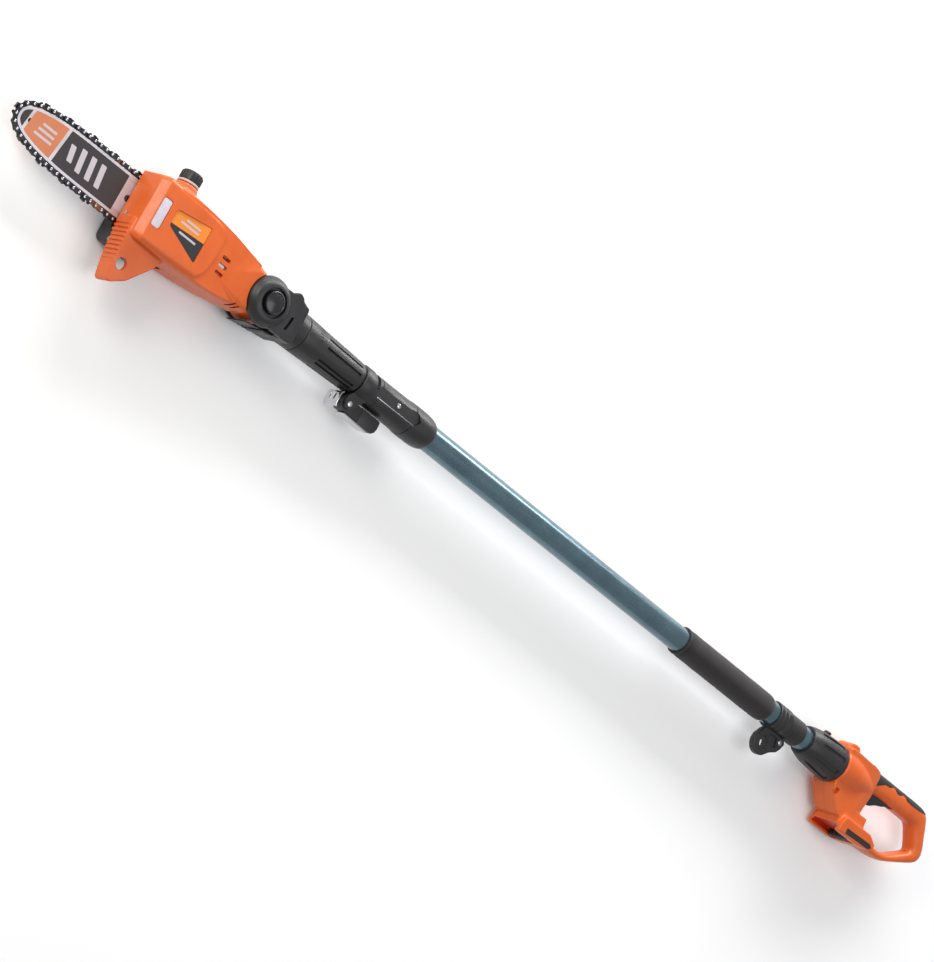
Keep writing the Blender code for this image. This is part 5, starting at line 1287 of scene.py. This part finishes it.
def handle():
    body = bm_prism(soft_corners(BODY[::-1], 5.0), -22.0, 22.0)
    round_rims(body, 7.0, 5)
    body = solid(body)
    for side in (1, -1):
        carve(body, bm_prism([(986.0, side * 23.0), (986.0, side * 22.1), (1010.0, side * 15.9),
                              (1010.0, side * 23.0)][::side], -90.0, 60.0, "y"))
    barrel = bm_turned([(HANDLE_FRONT, 0), (HANDLE_FRONT, 30.0), (HANDLE_FRONT + 1.2, 31.0), (942.0, 31.0),
                        (956.0, 30.0), (972.0, 27.4), (988.0, 23.4), (1003.0, 18.4), (1003.0, 0)],
                       "x", POLE_AXIS, 96)
    lump = bm_prism(soft_corners([(HANDLE_FRONT + 1, 20.0), (953.0, 20.0), (951.5, 33.0), (948.0, 40.0),
                                  (940.0, 41.3), (930.0, 39.6), (HANDLE_FRONT + 1, 34.5)], 3.0), -13.0, 13.0)
    round_rims(lump, 5.0, 4)
    foot = bm_prism(soft_corners(FOOT[::-1], 3.0), -FOOT_HALF, FOOT_HALF)
    round_rims(foot, 1.6, 3)
    flare = bm_loft([[(x, y, h) for x, h in rounded(958.0 + lean, 1030.0 - lean * 2, -half, half, 5.0)]
                     for y, half, lean in ((-40.0, 21.5, 6.0), (-52.0, 22.5, 6.0), (-62.0, 25.6, 4.0),
                                           (-70.0, 26.0, 2.0))])
    shell = solid(merged(barrel, lump, foot, flare, d_ring()))
    joined = bmesh.new()
    joined.from_mesh(shell.data)
    joined.from_mesh(body.data)
    bpy.data.objects.remove(shell)
    bpy.data.objects.remove(body)
    whole = remesh(solid(joined), 1.15, 5)
    # channel for the battery's rail, with inward lips, and the terminals' seat at its back
    carve(whole, bm_block(940, 1012, -100, -72.0, -22.5, 22.5))
    carve(whole, bm_block(998, 1012, -100, -71.0, -22.5, 22.5))
    for side in (1, -1):
        low, high = span(side, 20.0, 25.0)
        carve(whole, bm_block(940, 1008, -78.5, -74.5, low, high))
    # tube socket, trigger slot and lock-off button's well
    carve(whole, bm_rod("x", POLE_AXIS, 900, 985.5, TUBE_BORE, 96))
    carve(whole, bm_block(1011, 1071, -20.0, 15.5, -7.9, 7.9, 1.0, 2))
    for well in lock_well():
        carve(whole, well)
    # a notch low at the front, and the screws' wells on the far face
    carve(whole, bm_prism(soft_corners([(926.0, -30.0), (926.0, -36.0), (930.0, -40.5), (935.0, -38.0),
                                        (936.0, -30.0)], 2.5), 17.5, 60.0))
    for x, y in SCREW_SPOTS:
        carve(whole, bm_rod("h", (x, y, 0), -60, -8.0, 4.2, 48))
    # recessed badge on the foot's outer wall
    badge = soft_corners([(976.0, -79.2), (1034.0, -77.4), (1041.0, -73.0), (1034.0, -69.0), (976.0, -70.6)],
                         1.5)
    for side in (1, -1):
        low, high = span(side, FOOT_HALF - 1.0, 60)
        carve(whole, bm_prism(badge, low, high))
    for side, name, replaced in ((1, "handle_housing_left", "handle_shell_left"),
                                 (-1, "handle_housing_right", "handle_shell_right")):
        half = twin(whole)
        start_materials(half, orange_abs)
        low, high = span(side, SEAM, -200)
        carve(half, bm_block(800, 1300, -200, 200, low, high))
        # the battery channel's inner faces get the redder material: painted shade and painted reflected
        # orange light in the recess
        paint(half, channel_shade_red, lambda c, n: -78.9 < c.y < -70.9 and c.x < 1012.2 and abs(c.z) < 25.1
              and not (c.x < 961.5 and abs(n.x) > 0.7))
        finish_piece(name, half, orange_abs, "pole", replaces=[replaced], sharp=40)
    bpy.data.objects.remove(whole)
    for side, name in ((1, "foot_badge_left"), (-1, "foot_badge_right")):
        low, high = span(side, FOOT_HALF - 0.98, FOOT_HALF - 0.4)
        finish_piece(name, bm_prism(outset(badge, -0.3), low, high), black_nylon, "pole")

    rubber = solid(d_ring(0.55, 48, 1, 9))
    boolean(rubber, bm_prism(soft_corners(RUBBER_EDGE, 2.5), -30, 30), "INTERSECT")
    for well in lock_well():
        carve(rubber, well)
    start_materials(rubber, black_rubber)
    finish_piece("grip_overmould", chamfer(rubber, 0.25, 2, 40), black_rubber, "pole",
                 replaces=["grip_rubber"])


def handle_fittings():
    px, py, half = 1066.0, 5.0, 7.6
    outline = arc(px, py, 3.4, -90, 90, 12)
    outline += [(1018.0, py + 3.0), (1014.8, py - 0.6), (1014.3, -6.0), (1014.6, -14.0), (1016.4, -17.6),
                (1020.0, -18.6), (1024.0, -17.6), (1029.0, -14.4), (1036.0, -11.0), (1048.0, -7.2)]
    lever = bm_prism(soft_corners(outline, 1.0, 2), -half, half)
    round_rims(lever, 1.8, 3)
    trigger = solid(lever)
    for i in range(5):
        x = 1021.0 + 4.4 * i
        y = -18.4 + (x - 1020.0) * 0.5
        carve(trigger, bm_block(x - 0.5, x + 0.5, y - 4, y + 0.9, -half, half))
    finish_piece("trigger_lever", trigger, black_nylon, "trigger_lever", replaces=["trigger"])
    low, high = node_box("lock_off_button")
    top, radius = high.y, (high.x - low.x) / 2
    dome = [(29.8, 0), (29.8, radius), (33.2, radius), (34.4, radius - 0.5), (35.4, radius - 1.7),
            (36.1, radius - 3.4), (top, 0)]
    button = solid(bm_turned(dome, "y", (LOCK.x, 0, 0), 64))
    fuse(button, bm_block(LOCK.x - 2.5, LOCK.x + 2.5, low.y, 30.5, -2.6, 2.6))
    finish_piece("lock_button_domed", button, black_acetal, "lock_button", replaces=["lock_off_button"])
    low, high = node_box("terminal_block")
    block = solid(bm_block(low.x, high.x, low.y, high.y, low.z, high.z, 0.8, 2))
    for h in (-12.0, -4.0, 4.0, 12.0):
        carve(block, bm_block(low.x - 2, low.x + 9, low.y - 2, high.y - 2.4, h - 1.3, h + 1.3))
    finish_piece("terminal_carrier", block, black_nylon, "pole", replaces=["terminal_block"])
    blades = [bm_block(low.x + 0.6, low.x + 8.0, low.y + 0.8, high.y - 2.0, h - 0.4, h + 0.4)
              for h in (-12.0, -4.0, 4.0, 12.0)]
    finish_piece("terminal_blades", merged(*blades), bright_steel, "pole")
    heads = []
    for x, y, base, out in ((953.0, -32.0, -8.2, -1), (1150.0, -30.0, -8.2, -1)):
        head = [(base, 0), (base, 3.5), (base + out * 1.2, 3.3), (base + out * 1.9, 2.2),
                (base + out * 2.0, 0)]
        screw = solid(bm_turned(head, "h", (x, y, 0), 48))
        low_h, high_h = sorted((base + out * 1.0, base + out * 5))
        cross_recess(screw, x, y, 2.0, 0.45, low_h, high_h)
        bm = bmesh.new()
        bm.from_mesh(screw.data)
        bpy.data.objects.remove(screw)
        heads.append(bm)
    finish_piece("handle_screw_heads", merged(*heads), zinc_steel, "pole")


# ---------------------------------------------------------------- what stays as the CAD has it

KEPT = {
    "steel": zinc_steel, "milky": milky, "can": zinc_steel, "board": board_green, "bronze": bronze,
    "black_plastic": black_nylon, "rubber": black_rubber}


def finish_kept_nodes():
    slots = {part["node"]: part["material_slot"] for part in frame["record"]["subparts"]}
    for name, ob in frame["nodes"].items():
        if not ob.hide_render:
            ob.data.materials.clear()
            ob.data.materials.append(KEPT.get(slots[name], black_nylon))


guide_bar()
saw_chain()
head_shells()
oil_parts()
sprocket_guard()
tilt_joint()
neck_sleeve()
smooth_tube("tube_outer_drawn", "outer_tube", teal_tube, "pole")
smooth_tube("tube_inner_drawn", "inner_tube", bare_tube, "front_pole")
foam_sleeve()
clamp_parts()
strap_ring()
twist_collar_ribbed()
handle()
handle_fittings()
finish_kept_nodes()


# ---------------------------------------------------------------- stage

def make_floor():
    """A seamless pale sweep under and behind the tool."""
    bm = bmesh.new()
    bmesh.ops.create_grid(bm, x_segments=1, y_segments=1, size=30.0)
    mesh = bpy.data.meshes.new("floor")
    bm.to_mesh(mesh)
    bm.free()
    floor = bpy.data.objects.new("floor", mesh)
    bpy.context.scene.collection.objects.link(floor)
    floor.location.z = -0.0006
    mat, shader = new_material("paper_sweep", IOR=1.45)
    place = add_node(mat, "ShaderNodeTexCoord").outputs["Object"]
    cloud = add_node(mat, "ShaderNodeTexNoise", {"Vector": place, "Scale": 1.1})
    tint = add_node(mat, "ShaderNodeMix", {0: cloud.outputs["Fac"], 6: linear("#FBFBFB"),
                                           7: linear("#F6F6F6")},
                    data_type="RGBA")
    drive(mat, tint.outputs[2], shader, "Base Color")
    gloss = add_node(mat, "ShaderNodeMapRange", {"Value": cloud.outputs["Fac"], "To Min": 0.75,
                                                 "To Max": 0.85})
    drive(mat, gloss.outputs["Result"], shader, "Roughness")
    mesh.materials.append(mat)


def add_light(name, place, target, wide, high, power, colour):
    light = bpy.data.lights.new(name, "AREA")
    light.shape = "RECTANGLE"
    light.size = wide
    light.size_y = high
    light.energy = power
    light.color = linear(colour)[:3]
    ob = bpy.data.objects.new(name, light)
    bpy.context.scene.collection.objects.link(ob)
    ob.location = place
    ob.rotation_euler = (Vector(target) - Vector(place)).to_track_quat("-Z", "Y").to_euler()


def add_camera():
    """Beyond the bar's tip and above the left-hand side, looking back along the pole."""
    camera = bpy.data.cameras.new("camera")
    camera.sensor_width = 36.0
    camera.lens = 127.24
    ob = bpy.data.objects.new("camera", camera)
    bpy.context.scene.collection.objects.link(ob)
    eye = TO_WORLD @ Vector((-2605.0, -991.0, 3250.0))
    right, up, back = (Vector((0.6123, 0.4589, 0.6438)), Vector((-0.4903, 0.8592, -0.1461)),
                       Vector((-0.6202, -0.2262, 0.7511)))
    turn = Matrix((right, up, back)).transposed().to_4x4()
    ob.matrix_world = Matrix.Translation(eye) @ turn
    bpy.context.scene.camera = ob


make_floor()
add_light("rim", (0.2, 2.4, 0.8), (0.2, 0, 0.03), 3.8, 0.6, 100.0, "#FFFFFF")
add_light("front", (-3.4, 0.9, 1.5), (-0.5, 0, 0.03), 1.6, 1.6, 66.0, "#FFFBF0")
add_light("top", (0.2, -0.4, 3.6), (0.1, 0, 0), 3.0, 2.0, 40.0, "#FAFBFF")
world = bpy.data.worlds.new("studio")
world.use_nodes = True
world.node_tree.nodes["Background"].inputs["Color"].default_value = linear("#F4F5F7")
world.node_tree.nodes["Background"].inputs["Strength"].default_value = 0.50
bpy.context.scene.world = world
bpy.context.scene.view_settings.view_transform = "Standard"
add_camera()
